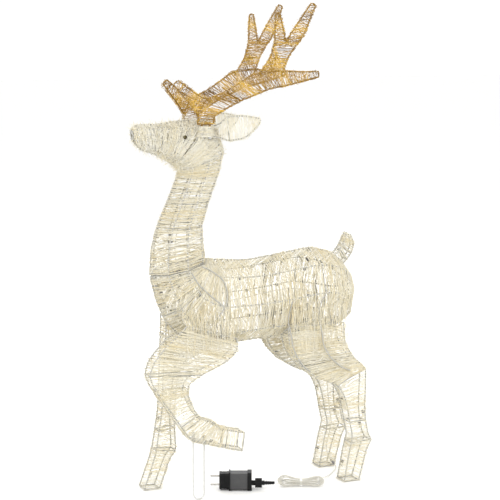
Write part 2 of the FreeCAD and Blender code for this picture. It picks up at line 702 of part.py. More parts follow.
def mains_end():
    """The two pins, and the hollow housing with its grip grooves that holds them."""
    half = PIN_PITCH / 2
    pins = []
    for z in (-half, half):
        pin = along_x(PIN_R, PIN_R, PIN_LENGTH + PIN_ROOT, z)
        pins.append(pin.fuse(Part.makeSphere(PIN_R, V(PIN_R, 0, z))))
    housing = rounded_box(PIN_LENGTH, HOUSING_END, *HOUSING_BLOCK)
    half_y, half_z, radius = HOUSING_BLOCK
    depth = GRIP_GROOVE_DEPTH
    for x in GRIP_GROOVES:
        outside = rounded_box(x, x + GRIP_GROOVE_WIDTH, half_y + depth, half_z + depth, radius)
        inside = rounded_box(x, x + GRIP_GROOVE_WIDTH, half_y - depth, half_z - depth, radius - depth / 2)
        housing = housing.cut(outside.cut(inside))
    housing = housing.cut(rounded_box(PIN_LENGTH + 6, HOUSING_END + 1, *HOUSING_INSIDE))
    for z in (-half, half):
        housing = housing.cut(along_x(PIN_R + 0.02, PIN_LENGTH - 1, PIN_LENGTH + PIN_ROOT + 1, z))
    return Part.Compound(pins), housing


def adapter_case():
    """The casing's flange, shell and end cap, with the output socket in the cap."""
    flange = rounded_box(HOUSING_END, FLANGE_END, *FLANGE_BLOCK)
    flange = flange.cut(rounded_box(HOUSING_END - 1, FLANGE_END + 1, *HOUSING_INSIDE))
    shell = rounded_box(FLANGE_END, SHELL_END, *SHELL_BLOCK)
    shell = shell.cut(rounded_box(FLANGE_END - 1, SHELL_END + 1, *SHELL_INSIDE))
    cap = rounded_box(SHELL_END, CAP_END, *CAP_BLOCK)
    cap = cap.cut(rounded_box(SHELL_END - 1, CAP_END - CAP_WALL, *CAP_INSIDE))
    cap = cap.cut(along_x(SOCKET_R, CAP_END - 4, CAP_END + 1, -OUTPUT_DROP))
    socket = along_x(SOCKET_R, CAP_END - 4, SOCKET_END, -OUTPUT_DROP)
    socket = socket.cut(along_x(SOCKET_BORE_R, CAP_END, SOCKET_END + 1, -OUTPUT_DROP))
    return flange, shell, cap, socket


def coupling_nut():
    """The fluted nut that turns on the output socket."""
    nut = along_x(NUT_R, NUT_START, NUT_END, -OUTPUT_DROP)
    for k in range(NUT_FLUTES):
        start = V(NUT_START + 3, 0, NUT_R + 0.3)
        flute = Part.makeCylinder(NUT_FLUTE_R, NUT_END - NUT_START - 3, start, V(1, 0, 0))
        flute.rotate(V(0, 0, 0), V(1, 0, 0), 360.0 / NUT_FLUTES * k)
        flute.translate(V(0, 0, -OUTPUT_DROP))
        nut = nut.cut(flute)
    nut = nut.cut(along_x(SOCKET_R + RUNNING_GAP, NUT_START - 1, NUT_END - NUT_LIP, -OUTPUT_DROP))
    return nut.cut(along_x(NUT_LIP_R + RUNNING_GAP, NUT_START, NUT_END + 1, -OUTPUT_DROP))


def lead_end():
    """The lead's plug, and the tapered tail with its bending rings."""
    plug = along_x(PLUG_CONTACT_R, CAP_END + 4, SOCKET_END + 0.5, -OUTPUT_DROP)
    plug = plug.fuse(along_x(PLUG_COLLAR_R, SOCKET_END + 0.3, SOCKET_END + 3, -OUTPUT_DROP))
    plug = plug.fuse(along_x(PLUG_NECK_R, SOCKET_END + 3, NUT_END + 1, -OUTPUT_DROP))
    start = NUT_END + 1
    tail = Part.makeCone(PLUG_COLLAR_R, TAIL_TIP_R, TAIL_END - start, V(start, 0, -OUTPUT_DROP), V(1, 0, 0))
    for k in range(TAIL_RINGS):
        x = start + 5 + TAIL_RING_STEP * k
        ring = along_x(7, x, x + 1.6, -OUTPUT_DROP).cut(along_x(2.9, x, x + 1.6, -OUTPUT_DROP))
        window = Part.makeBox(1.6, 16, 3.2, V(x, -8, -OUTPUT_DROP - 1.6))
        tail = tail.cut(ring.cut(window))
    return plug, tail.cut(along_x(LEAD_R, TAIL_END - 12, TAIL_END + 1, -OUTPUT_DROP))


def build_adapter():
    """The two-pin adapter, its lead plug, tail and coupling nut."""
    pins, housing = mains_end()
    flange, shell, cap, socket = adapter_case()
    plug, tail = lead_end()
    board = Part.makeBox(30, 22, 1.6, V(FLANGE_END + 2, -11, -13))
    transformer = rounded_box(FLANGE_END + 6, FLANGE_END + 26, 8, 7.5, 2)
    transformer.translate(V(0, 0, -3.8))
    pieces = {
        "mains_pins": pins, "plug_housing": housing, "adapter_flange": flange, "adapter_shell": shell,
        "adapter_end_cap": cap, "output_socket": socket, "circuit_board": board,
        "transformer": transformer, "coupling_nut": coupling_nut(), "lead_plug": plug,
        "lead_plug_tail": tail,
    }
    for name, shape in pieces.items():
        export(name, place_adapter(shape))
    print("  tail end at", place_adapter(Part.Vertex(V(TAIL_END, 0, -OUTPUT_DROP))).Point)


def build_free_lead():
    """The free lead on the floor: two plain tubes, the tied hank between them, its tie and the hoof clip."""
    for name, route in (("lead_hoof_to_hank", LEAD_TO_HANK), ("lead_hank_to_plug", LEAD_TO_PLUG)):
        tube_shape = rod(route, LEAD_R, True)
        export(name, tube_shape)
        length = path([V(*p) for p in route]).Length
        print("  length", round(length, 1), "volume ratio",
              round(tube_shape.Volume / (math.pi * LEAD_R ** 2 * length), 4))
    rings = []
    for s, half, low, high in HANK_STATIONS:
        middle = (low + high) / 2
        tall = (high - low) / 2
        rings.append([V(s, half * math.cos(math.radians(a)), middle + tall * math.sin(math.radians(a)))
                      for a in range(0, 360, 30)])
    waist = rounded_box(-WAIST_LENGTH / 2, WAIST_LENGTH / 2, *WAIST_BLOCK)
    core = rounded_box(-WAIST_LENGTH / 2, WAIST_LENGTH / 2, *WAIST_CORE)
    for shape in (waist, core):
        shape.translate(V(0, 0, WAIST_HEIGHT))
    hank = loft(rings).cut(waist).fuse(core)
    tie = waist.cut(core)
    for name, shape in (("lead_hank", hank), ("hank_tie", tie)):
        placed = shape.copy()
        placed.rotate(V(0, 0, 0), V(0, 0, 1), ADAPTER_TURN)
        placed.translate(HANK_CENTRE)
        export(name, placed)
    mouth = V(*LEAD_TO_HANK[0])
    inside = V(*LED_LEAD_BODY[-1])
    export("hoof_lead_clip", bar(inside, mouth, CLIP_R))


def build():
    """Make every piece."""
    os.makedirs("parts", exist_ok=True)
    build_torso()
    build_head()
    build_legs()
    build_prop()
    build_ears()
    build_tail()
    build_antlers()
    build_lights()
    build_adapter()
    build_free_lead()


build()
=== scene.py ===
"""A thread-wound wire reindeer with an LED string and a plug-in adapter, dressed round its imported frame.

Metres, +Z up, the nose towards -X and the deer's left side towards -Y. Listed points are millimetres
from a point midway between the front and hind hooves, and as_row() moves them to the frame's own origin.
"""

import logging
import math
from collections.abc import Sequence
from dataclasses import dataclass, field
from enum import Enum
from typing import ClassVar

import bpy
import numpy as np
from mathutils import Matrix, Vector
from mathutils.bvhtree import BVHTree


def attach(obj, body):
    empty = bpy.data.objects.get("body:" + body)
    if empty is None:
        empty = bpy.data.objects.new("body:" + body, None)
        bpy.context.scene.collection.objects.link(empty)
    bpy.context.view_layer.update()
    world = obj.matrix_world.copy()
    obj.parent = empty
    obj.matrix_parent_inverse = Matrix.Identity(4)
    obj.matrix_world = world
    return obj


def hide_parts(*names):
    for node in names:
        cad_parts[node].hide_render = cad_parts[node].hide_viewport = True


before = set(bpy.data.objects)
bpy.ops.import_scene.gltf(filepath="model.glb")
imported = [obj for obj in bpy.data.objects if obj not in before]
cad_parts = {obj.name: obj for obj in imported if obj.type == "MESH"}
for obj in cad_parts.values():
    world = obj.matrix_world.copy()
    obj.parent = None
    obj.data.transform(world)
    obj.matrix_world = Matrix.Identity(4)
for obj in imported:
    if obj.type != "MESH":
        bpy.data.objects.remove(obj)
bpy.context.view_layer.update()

MM = 0.001
DRAWN_TO_ROW = (4.6, 0.0, 0.0)
OFF_FLOOR = 1.1
"""No thread's middle lies lower than this many times its radius."""

LOG = logging.getLogger("reindeer")

Colour = tuple[float, float, float]
Point = tuple[float, float, float]
Course = tuple[float, float, float, float]

SIDES = (("left", -1), ("right", 1))


def as_row(point: Sequence[float]) -> Vector:
    """A listed point in millimetres, as metres in the row's frame."""
    return Vector((a + b) * MM for a, b in zip(point, DRAWN_TO_ROW))


# ---------------------------------------------------------------- shader expressions


class Value:
    """One output of a shader node, on which Python's operators add Math nodes."""

    def __init__(self, recipe: "Recipe", socket: bpy.types.NodeSocket) -> None:
        """Wrap a socket.

        Args:
            recipe: The node tree that the socket belongs to.
            socket: The output to read.
        """
        self.recipe = recipe
        self.socket = socket

    def _math(self, operation: str, first: "Value | float", second: "Value | float") -> "Value":
        """One Math node.

        Args:
            operation: The node's operation.
            first: Its first value.
            second: Its second value.

        Returns:
            The node's output.
        """
        return self.recipe.node("ShaderNodeMath", {"operation": operation}, {0: first, 1: second})

    def __add__(self, other: "Value | float") -> "Value":
        """Sum."""
        return self._math("ADD", self, other)

    def __radd__(self, other: float) -> "Value":
        """Sum with a number on the left."""
        return self._math("ADD", other, self)

    def __sub__(self, other: "Value | float") -> "Value":
        """Difference."""
        return self._math("SUBTRACT", self, other)

    def __rsub__(self, other: float) -> "Value":
        """Difference from a number."""
        return self._math("SUBTRACT", other, self)

    def __mul__(self, other: "Value | float") -> "Value":
        """Product."""
        return self._math("MULTIPLY", self, other)

    def __rmul__(self, other: float) -> "Value":
        """Product with a number on the left."""
        return self._math("MULTIPLY", other, self)


class Recipe:
    """The node tree of one material."""

    def __init__(self, name: str) -> None:
        """Start an empty material.

        Args:
            name: The material's name.
        """
        self.material = bpy.data.materials.new(name)
        self.material.use_nodes = True
        self.tree = self.material.node_tree
        self.tree.nodes.clear()
        self.place = self.node("ShaderNodeTexCoord", {}, {}, "Object")

    def node(self, kind: str, settings: dict, inputs: dict, output: str | int = 0) -> Value:
        """Add one node of any kind.

        Args:
            kind: The node's type.
            settings: Its own settings, and "stops" for a ramp's (place, colour) pairs.
            inputs: Numbers, colours or Values for its sockets, by name or number.
            output: The socket to hand back.

        Returns:
            The chosen output.
        """
        made = self.tree.nodes.new(kind)
        for key, value in settings.items():
            if key == "stops":
                self._fill_ramp(made.color_ramp, value)
            else:
                setattr(made, key, value)
        for key, value in inputs.items():
            if isinstance(value, Value):
                self.tree.links.new(value.socket, made.inputs[key])
            else:
                made.inputs[key].default_value = value
        return Value(self, made.outputs[output])

    def _fill_ramp(self, ramp: bpy.types.ColorRamp, stops: Sequence[tuple[float, Colour]]) -> None:
        """Set a ramp's stops.

        Args:
            ramp: The ramp of a new node, which has two stops.
            stops: The place and colour of each stop.
        """
        while len(ramp.elements) < len(stops):
            ramp.elements.new(0.5)
        for element, (place, colour) in zip(ramp.elements, stops):
            element.position = place
            element.color = (*colour, 1.0)

    def noise(self, scale: float, detail: float = 3.0, roughness: float = 0.55) -> Value:
        """Soft noise from 0 to 1.

        Args:
            scale: Features in a metre.
            detail: Octaves.
            roughness: How strong the finer octaves are.

        Returns:
            The noise.
        """
        inputs = {"Vector": self.place, "Scale": scale, "Detail": detail, "Roughness": roughness}
        return self.node("ShaderNodeTexNoise", {}, inputs, "Fac")

    def cells(self, scale: float) -> Value:
        """A random number for each small cell, for glints and grains."""
        colour = self.node("ShaderNodeTexVoronoi", {}, {"Vector": self.place, "Scale": scale}, "Color")
        return self.node("ShaderNodeSeparateColor", {}, {0: colour}, 0)

    def attribute(self, name: str) -> Value:
        """A number that the mesh carries."""
        return self.node("ShaderNodeAttribute", {"attribute_name": name}, {}, "Fac")

    def spread(self, value: Value, low: float, high: float, to_low: float, to_high: float) -> Value:
        """Move a range onto another, without leaving it.

        Args:
            value: What to change.
            low: The value that becomes to_low.
            high: The value that becomes to_high.
            to_low: One end of the new range.
            to_high: The other end.

        Returns:
            The changed value.
        """
        inputs = {0: value, 1: low, 2: high, 3: to_low, 4: to_high}
        return self.node("ShaderNodeMapRange", {"clamp": True}, inputs)

    def blend(self, factor: "Value | float", first: "Value | Colour", second: "Value | Colour",
              mode: str = "MIX") -> Value:
        """Mix two colours.

        Args:
            factor: How much of the second.
            first: One colour.
            second: The other.
            mode: The way they mix.

        Returns:
            The mixed colour.
        """
        settings = {"data_type": "RGBA", "blend_type": mode}
        inputs = {0: factor, 6: self._colour(first), 7: self._colour(second)}
        return self.node("ShaderNodeMix", settings, inputs, 2)

    @staticmethod
    def _colour(colour: "Value | Colour") -> "Value | tuple[float, ...]":
        """A colour as a socket takes it."""
        return colour if isinstance(colour, Value) else (*colour, 1.0)

    def ramp(self, value: Value, stops: Sequence[tuple[float, Colour]]) -> Value:
        """A colour for each value."""
        return self.node("ShaderNodeValToRGB", {"stops": stops}, {0: value}, "Color")

    def bump(self, height: Value, depth: float) -> Value:
        """A bumped normal.

        Args:
            height: The height, from 0 to 1.
            depth: How deep a height of 1 is, in metres.

        Returns:
            The normal.
        """
        inputs = {"Strength": 1.0, "Distance": depth, "Height": height}
        return self.node("ShaderNodeBump", {}, inputs, "Normal")

    def _close(self, shader: Value) -> bpy.types.Material:
        """Send a shader to the material's output.

        Args:
            shader: What the surface shows.

        Returns:
            The material.
        """
        out = self.tree.nodes.new("ShaderNodeOutputMaterial")
        self.tree.links.new(shader.socket, out.inputs["Surface"])
        return self.material

    def glowing_through(self, share: float, colour: Value, sockets: dict) -> bpy.types.Material:
        """Close the material with a Principled shader that lets some light through from behind.

        Args:
            share: How much of the surface's light comes from behind.
            colour: The colour of that light.
            sockets: Values for the Principled shader's sockets.

        Returns:
            The material.
        """
        front = self.node("ShaderNodeBsdfPrincipled", {}, sockets, "BSDF")
        back = self.node("ShaderNodeBsdfTranslucent", {}, {"Color": colour}, "BSDF")
        return self._close(self.node("ShaderNodeMixShader", {}, {0: share, 1: front, 2: back}, "Shader"))

    def surface(self, sockets: dict) -> bpy.types.Material:
        """Close the material with one Principled shader.

        Args:
            sockets: Values for the shader's sockets.

        Returns:
            The material.
        """
        return self._close(self.node("ShaderNodeBsdfPrincipled", {}, sockets, "BSDF"))


# ---------------------------------------------------------------- finishes


@dataclass(frozen=True)
class ThreadFinish:
    """Cream cotton thread: each turn has its own tone, the cloth yellows in patches, and painted shade
    darkens the grooves of its twist.
    """

    name: str = "cream thread"
    pale: Colour = (0.97, 0.955, 0.885)
    cream: Colour = (0.95, 0.90, 0.735)
    warm: Colour = (0.90, 0.79, 0.50)
    # Painted shade: the darker colour that the low parts of the yarn's twist are multiplied towards.
    painted_groove_shade: Colour = (0.70, 0.62, 0.44)
    through: float = 0.30
    twists: float = 900.0

    def material(self) -> bpy.types.Material:
        """The finish as a material.

        Returns:
            The material.
        """
        r = Recipe(self.name)
        tone = r.attribute("tone")
        patches = r.noise(14.0, 2.0)
        flecks = r.noise(170.0, 3.0)
        yarn = r.noise(self.twists, 2.0, 0.6)
        mood = r.spread(tone * 0.75 + patches * 0.5 + flecks * 0.25, 0.35, 1.15, 0.0, 1.0)
        colour = r.ramp(mood, [(0.0, self.pale), (0.45, self.cream), (1.0, self.warm)])
        # Painted shade in the twist's grooves: where the yarn noise is low, where the bump sinks, the colour
        # is multiplied towards a darker shade colour.
        colour = r.blend(r.spread(yarn, 0.3, 0.7, 0.16, 0.0), colour, self.painted_groove_shade, "MULTIPLY")
        return r.glowing_through(self.through, colour, {
            "Base Color": colour,
            "Roughness": r.spread(yarn, 0.2, 0.8, 0.62, 0.86),
            "Sheen Weight": 0.25,
            "Sheen Roughness": 0.4,
            "Specular IOR Level": 0.25,
            "Normal": r.bump(yarn, 0.00035),
        })


@dataclass(frozen=True)
class GlitterFinish:
    """Gold thread with a shinier metallic strand, whose small random cells are more metallic and glossier and
    carry a near-white painted glint.
    """

    name: str = "gold thread"
    deep: Colour = (0.10, 0.042, 0.002)
    gold: Colour = (0.43, 0.235, 0.010)
    bright: Colour = (0.80, 0.53, 0.07)
    # Painted glint: the near-white colour that the brightest few cells take.
    painted_glint: Colour = (1.0, 0.93, 0.80)

    def material(self) -> bpy.types.Material:
        """The finish as a material.

        Returns:
            The material.
        """
        r = Recipe(self.name)
        tone = r.attribute("tone")
        fine = r.noise(420.0, 3.0, 0.6)
        glint = r.cells(900.0)
        mood = r.spread(tone * 0.7 + fine * 0.5, 0.25, 0.95, 0.0, 1.0)
        colour = r.ramp(mood, [(0.0, self.deep), (0.55, self.gold), (1.0, self.bright)])
        # Painted glints: the brightest few random cells are mixed towards a near-white colour, and the same
        # cells are made more metallic and glossier.
        shine = r.spread(glint, 0.86, 0.92, 0.0, 1.0)
        colour = r.blend(shine, colour, self.painted_glint)
        return r.surface({
            "Base Color": colour,
            "Metallic": r.spread(glint, 0.5, 0.9, 0.2, 0.8),
            "Roughness": r.spread(glint, 0.4, 0.9, 0.5, 0.22),
            "Sheen Weight": 0.1,
            "Normal": r.bump(fine, 0.0004),
        })


@dataclass(frozen=True)
class LacquerFinish:
    """Lacquered wire with a slightly uneven coat and worn spots."""

    name: str
    coat: Colour
    worn: Colour
    metallic: float = 0.2

    def material(self) -> bpy.types.Material:
        """The finish as a material.

        Returns:
            The material.
        """
        r = Recipe(self.name)
        uneven = r.noise(260.0, 4.0)
        wear = r.spread(r.noise(900.0, 4.0, 0.7), 0.60, 0.70, 0.0, 1.0)
        colour = r.blend(r.spread(uneven, 0.3, 0.7, 0.0, 0.35), self.coat, self.worn)
        return r.surface({
            "Base Color": r.blend(wear * 0.8, colour, self.worn),
            "Metallic": r.spread(wear, 0.0, 1.0, self.metallic, 0.8),
            "Roughness": r.spread(uneven, 0.3, 0.7, 0.30, 0.48),
            "Coat Weight": r.spread(wear, 0.0, 1.0, 0.25, 0.0),
            "Normal": r.bump(uneven, 0.00012),
        })


@dataclass(frozen=True)
class MouldedFinish:
    """Moulded plastic with a fine grain and a little dust in it."""

    name: str
    colour: Colour
    roughness: float = 0.42
    grain: float = 1500.0
    depth: float = 0.00006
    dust: Colour = (0.5, 0.5, 0.48)
    dusty: float = 0.05

    def material(self) -> bpy.types.Material:
        """The finish as a material.

        Returns:
            The material.
        """
        r = Recipe(self.name)
        grain = r.noise(self.grain, 3.0, 0.6)
        smudge = r.noise(70.0, 4.0)
        light = r.spread(smudge, 0.45, 0.75, 0.0, self.dusty)
        uneven = smudge * 0.6 + grain * 0.4
        return r.surface({
            "Base Color": r.blend(light, self.colour, self.dust),
            "Roughness": r.spread(uneven, 0.3, 0.7, self.roughness - 0.08, self.roughness + 0.12),
            "Specular IOR Level": 0.2,
            "Normal": r.bump(grain, self.depth),
        })


@dataclass(frozen=True)
class ClearFinish:
    """Clear soft plastic: it lets light in, and its shade colour is mixed in as soft clouds."""

    name: str
    tint: Colour
    shade: Colour
    roughness: float = 0.16
    through: float = 0.25

    def material(self) -> bpy.types.Material:
        """The finish as a material.

        Returns:
            The material.
        """
        r = Recipe(self.name)
        cloud = r.noise(320.0, 3.0)
        return r.surface({
            "Base Color": r.blend(r.spread(cloud, 0.3, 0.7, 0.0, 0.5), self.tint, self.shade),
            "Roughness": r.spread(cloud, 0.3, 0.7, self.roughness, self.roughness + 0.12),
            "IOR": 1.46,
            "Transmission Weight": self.through,
            "Coat Weight": 0.3,
            "Coat Roughness": 0.1,
            "Normal": r.bump(cloud, 0.00005),
        })


@dataclass(frozen=True)
class PlatedFinish:
    """Nickel plate with light handling marks."""

    name: str = "nickel plate"
    metal: Colour = (0.40, 0.39, 0.37)
    handled: Colour = (0.22, 0.21, 0.20)

    def material(self) -> bpy.types.Material:
        """The finish as a material.

        Returns:
            The material.
        """
        r = Recipe(self.name)
        marks = r.noise(600.0, 5.0, 0.7)
        return r.surface({
            "Base Color": r.blend(r.spread(marks, 0.4, 0.7, 0.0, 0.4), self.metal, self.handled),
            "Metallic": 1.0,
            "Roughness": r.spread(marks, 0.3, 0.7, 0.16, 0.34),
        })


@dataclass(frozen=True)
class BoardFinish:
    """Green resist over copper tracks."""

    name: str = "circuit board"
    resist: Colour = (0.03, 0.18, 0.07)
    track: Colour = (0.08, 0.33, 0.14)

    def material(self) -> bpy.types.Material:
        """The finish as a material.

        Returns:
            The material.
        """
        r = Recipe(self.name)
        tracks = r.spread(r.cells(420.0), 0.55, 0.60, 0.0, 1.0)
        return r.surface({
            "Base Color": r.blend(tracks, self.resist, self.track),
            "Roughness": r.spread(tracks, 0.0, 1.0, 0.35, 0.22),
            "Normal": r.bump(tracks, 0.00004),
        })


@dataclass(frozen=True)
class FloorFinish:
    """A plain pale floor."""

    name: str = "pale floor"
    colour: Colour = (0.955, 0.955, 0.95)
    paler: Colour = (0.965, 0.965, 0.96)

    def material(self) -> bpy.types.Material:
        """The finish as a material.

        Returns:
            The material.
        """
        r = Recipe(self.name)
        wave = r.noise(3.0, 2.0)
        return r.surface({
            "Base Color": r.blend(r.spread(wave, 0.3, 0.7, 0.0, 0.3), self.colour, self.paler),
            "Roughness": 0.75,
            "Specular IOR Level": 0.15,
        })


class Finish(Enum):
    """Every finish on the deer, by what it is made of."""

    CREAM = ThreadFinish()
    GOLD_THREAD = GlitterFinish()
    WIRE = LacquerFinish("grey lacquered wire", (0.44, 0.43, 0.39), (0.24, 0.235, 0.22))
    PROP_WIRE = LacquerFinish("pale lacquered wire", (0.62, 0.62, 0.60), (0.38, 0.38, 0.36))
    GOLD_WIRE = LacquerFinish("gold lacquered wire", (0.27, 0.145, 0.015), (0.14, 0.08, 0.01), 0.5)
    SLEEVE = LacquerFinish("bare tube", (0.56, 0.56, 0.55), (0.34, 0.34, 0.33), 0.8)
    BULB = ClearFinish("clear bulb", (0.96, 0.93, 0.80), (0.80, 0.74, 0.55))
    HOLDER = MouldedFinish("grey holder", (0.20, 0.20, 0.21))
    LEAD = ClearFinish("clear lead", (0.66, 0.64, 0.57), (0.42, 0.40, 0.35), 0.3, 0.05)
    TIE = MouldedFinish("pale tie", (0.86, 0.86, 0.82), 0.35)
    BLACK = MouldedFinish("black plastic", (0.003, 0.003, 0.0035), 0.5, dusty=0.006)
    GREY = MouldedFinish("dark grey plastic", (0.062, 0.062, 0.063), 0.5, dusty=0.03)
    NICKEL = PlatedFinish()
    BOARD = BoardFinish()
    FERRITE = MouldedFinish("pressed ferrite", (0.05, 0.05, 0.055), 0.7)
    EYE = MouldedFinish(
        "dark amber eye", (0.035, 0.028, 0.012), 0.12, 200.0, 0.00001, dust=(0.25, 0.20, 0.05), dusty=0.4,
    )
    FLOOR = FloorFinish()


class Dresser:
    """Makes each material once and puts it on meshes."""

    def __init__(self) -> None:
        """Start with no materials."""
        self.made: dict[Finish, bpy.types.Material] = {}

    def material(self, finish: Finish) -> bpy.types.Material:
        """The material of a finish, made when it is first asked for.

        Args:
            finish: What a piece is made of.

        Returns:
            The material.
        """
        if finish not in self.made:
            self.made[finish] = finish.value.material()
        return self.made[finish]

    def dress(self, piece: bpy.types.Object, finish: Finish) -> None:
        """Give a whole piece one finish.

        Args:
            piece: A mesh or curve.
            finish: What it is made of.
        """
        piece.data.materials.clear()
        piece.data.materials.append(self.material(finish))

    def dress_nodes(self, finish: Finish, *nodes: str) -> None:
        """Give carried-over nodes a finish.

        Args:
            finish: What they are made of.
            nodes: Their names.
        """
        for node in nodes:
            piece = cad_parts[node]
            for slot in piece.material_slots:
                slot.material = self.material(finish)
            LOG.info("%s has the finish %s", node, finish.value.name)


# ---------------------------------------------------------------- thread


def stepped(line: np.ndarray, step: float, closest: float = 0.0) -> np.ndarray:
    """Points along an open line: corners stay, long runs are divided and close pairs are merged.

    Args:
        line: The line's points.
        step: The longest run to leave.
        closest: The shortest run to keep.

    Returns:
        The new points.
    """
    result = [line[0]]
    for point in line[1:]:
        start = result[-1]
        run = np.linalg.norm(point - start)
        if run < closest:
            continue
        count = max(1, math.ceil(run / step))
        result += [start + (point - start) * (k / count) for k in range(1, count + 1)]
    return np.array(result)


def smoothed(values: np.ndarray, times: int) -> np.ndarray:
    """Soften a line's corners, and leave its ends where they are.

    Args:
        values: Its points, or one coordinate of them.
        times: How often to average each point with its neighbours.

    Returns:
        The softened copy.
    """
    result = values.copy()
    for _ in range(times):
        result[1:-1] = (result[:-2] + 2 * result[1:-1] + result[2:]) / 4
    return result


class Former:
    """The triangles of one CAD winding, cut by planes to find where a taut turn lies."""

    GRID = 20_000
    """Places in a metre: ends of lines that round to the same one are joined."""

    STRAIGHT = 1e-9
    """Twice the area, in square metres, of a corner too flat to hold a taut thread."""

    def __init__(self, node: str) -> None:
        """Read the node's mesh.

        Args:
            node: The CAD winding.
        """
        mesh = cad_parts[node].data
        mesh.calc_loop_triangles()
        self.points = np.empty(len(mesh.vertices) * 3)
        mesh.vertices.foreach_get("co", self.points)
        self.points = self.points.reshape(-1, 3)
        self.triangles = np.empty(len(mesh.loop_triangles) * 3, dtype=np.int64)
        mesh.loop_triangles.foreach_get("vertices", self.triangles)
        self.triangles = self.triangles.reshape(-1, 3)

    def cuts(self, centre: np.ndarray, normal: np.ndarray) -> np.ndarray:
        """The short lines where the plane crosses the triangles.

        Args:
            centre: A point on the plane.
            normal: The plane's normal.

        Returns:
            Start and end points, one pair for each crossed triangle.
        """
        height = (self.points - centre) @ normal
        above = height[self.triangles] > 0
        crossed = self.triangles[(above.sum(axis=1) % 3) != 0]
        ends = np.empty((len(crossed), 2, 3))
        filled = np.zeros(len(crossed), dtype=np.int64)
        for a, b in ((0, 1), (1, 2), (2, 0)):
            first, second = crossed[:, a], crossed[:, b]
            hit = np.nonzero((height[first] > 0) != (height[second] > 0))[0]
            share = height[first[hit]] / (height[first[hit]] - height[second[hit]])
            start, end = self.points[first[hit]], self.points[second[hit]]
            ends[hit, filled[hit]] = start + (end - start) * share[:, None]
            filled[hit] += 1
        return ends

    @staticmethod
    def _groups(ends: np.ndarray) -> list[np.ndarray]:
        """Join short lines that meet into separate outlines.

        Args:
            ends: Start and end points.

        Returns:
            The points of each outline.
        """
        keys = np.round(ends.reshape(-1, 3) * Former.GRID).astype(np.int64)
        _, ids = np.unique(keys, axis=0, return_inverse=True)
        ids = ids.reshape(-1, 2)
        parent = list(range(int(ids.max()) + 1))

        def root(i: int) -> int:
            """The outline that a point belongs to so far.

            Args:
                i: The point.

            Returns:
                The point that stands for the outline.
            """
            while parent[i] != i:
                parent[i] = parent[parent[i]]
                i = parent[i]
            return i

        for a, b in ids.tolist():
            parent[root(a)] = root(b)
        labels = np.array([root(a) for a in ids[:, 0].tolist()])
        return [ends[labels == label].reshape(-1, 3) for label in np.unique(labels)]

    def turn(self, centre: np.ndarray, normal: np.ndarray, reach: float) -> np.ndarray | None:
        """The line that a taut closed turn of thread takes round the winding in a plane.

        Args:
            centre: A point on the plane, inside the winding.
            normal: The plane's normal.
            reach: How far from it an outline's middle may be.

        Returns:
            The turn's points in order, or None where the plane misses the winding.
        """
        ends = self.cuts(centre, normal)
        if len(ends) < 3:
            return None
        near = [
            group for group in self._groups(ends)
            if np.linalg.norm((group.min(0) + group.max(0)) / 2 - centre) < reach
        ]
        if not near:
            return None
        points = np.concatenate(near)
        across = np.cross(normal, (0.0, 1.0, 0.0))
        across /= np.linalg.norm(across)
        up = np.cross(normal, across)
        flat = np.column_stack(((points - centre) @ across, (points - centre) @ up))
        order = self._taut(flat)
        return points[order] if len(order) > 2 else None

    @staticmethod
    def _taut(flat: np.ndarray) -> list[int]:
        """The outermost points, in order round them.

        Args:
            flat: Points in the plane of the turn.

        Returns:
            Indices of the points that a taut thread touches.
        """
        order = np.lexsort((flat[:, 1], flat[:, 0])).tolist()
        points = flat.tolist()
        chains: list[list[int]] = []
        for run in (order, order[::-1]):
            chain: list[int] = []
            for i in run:
                while len(chain) > 1:
                    ox, oy = points[chain[-2]]
                    ax, ay = points[chain[-1]]
                    bx, by = points[i]
                    if (ax - ox) * (by - oy) - (ay - oy) * (bx - ox) > Former.STRAIGHT:
                        break
                    chain.pop()
                chain.append(i)
            chains.append(chain[:-1])
        return chains[0] + chains[1]


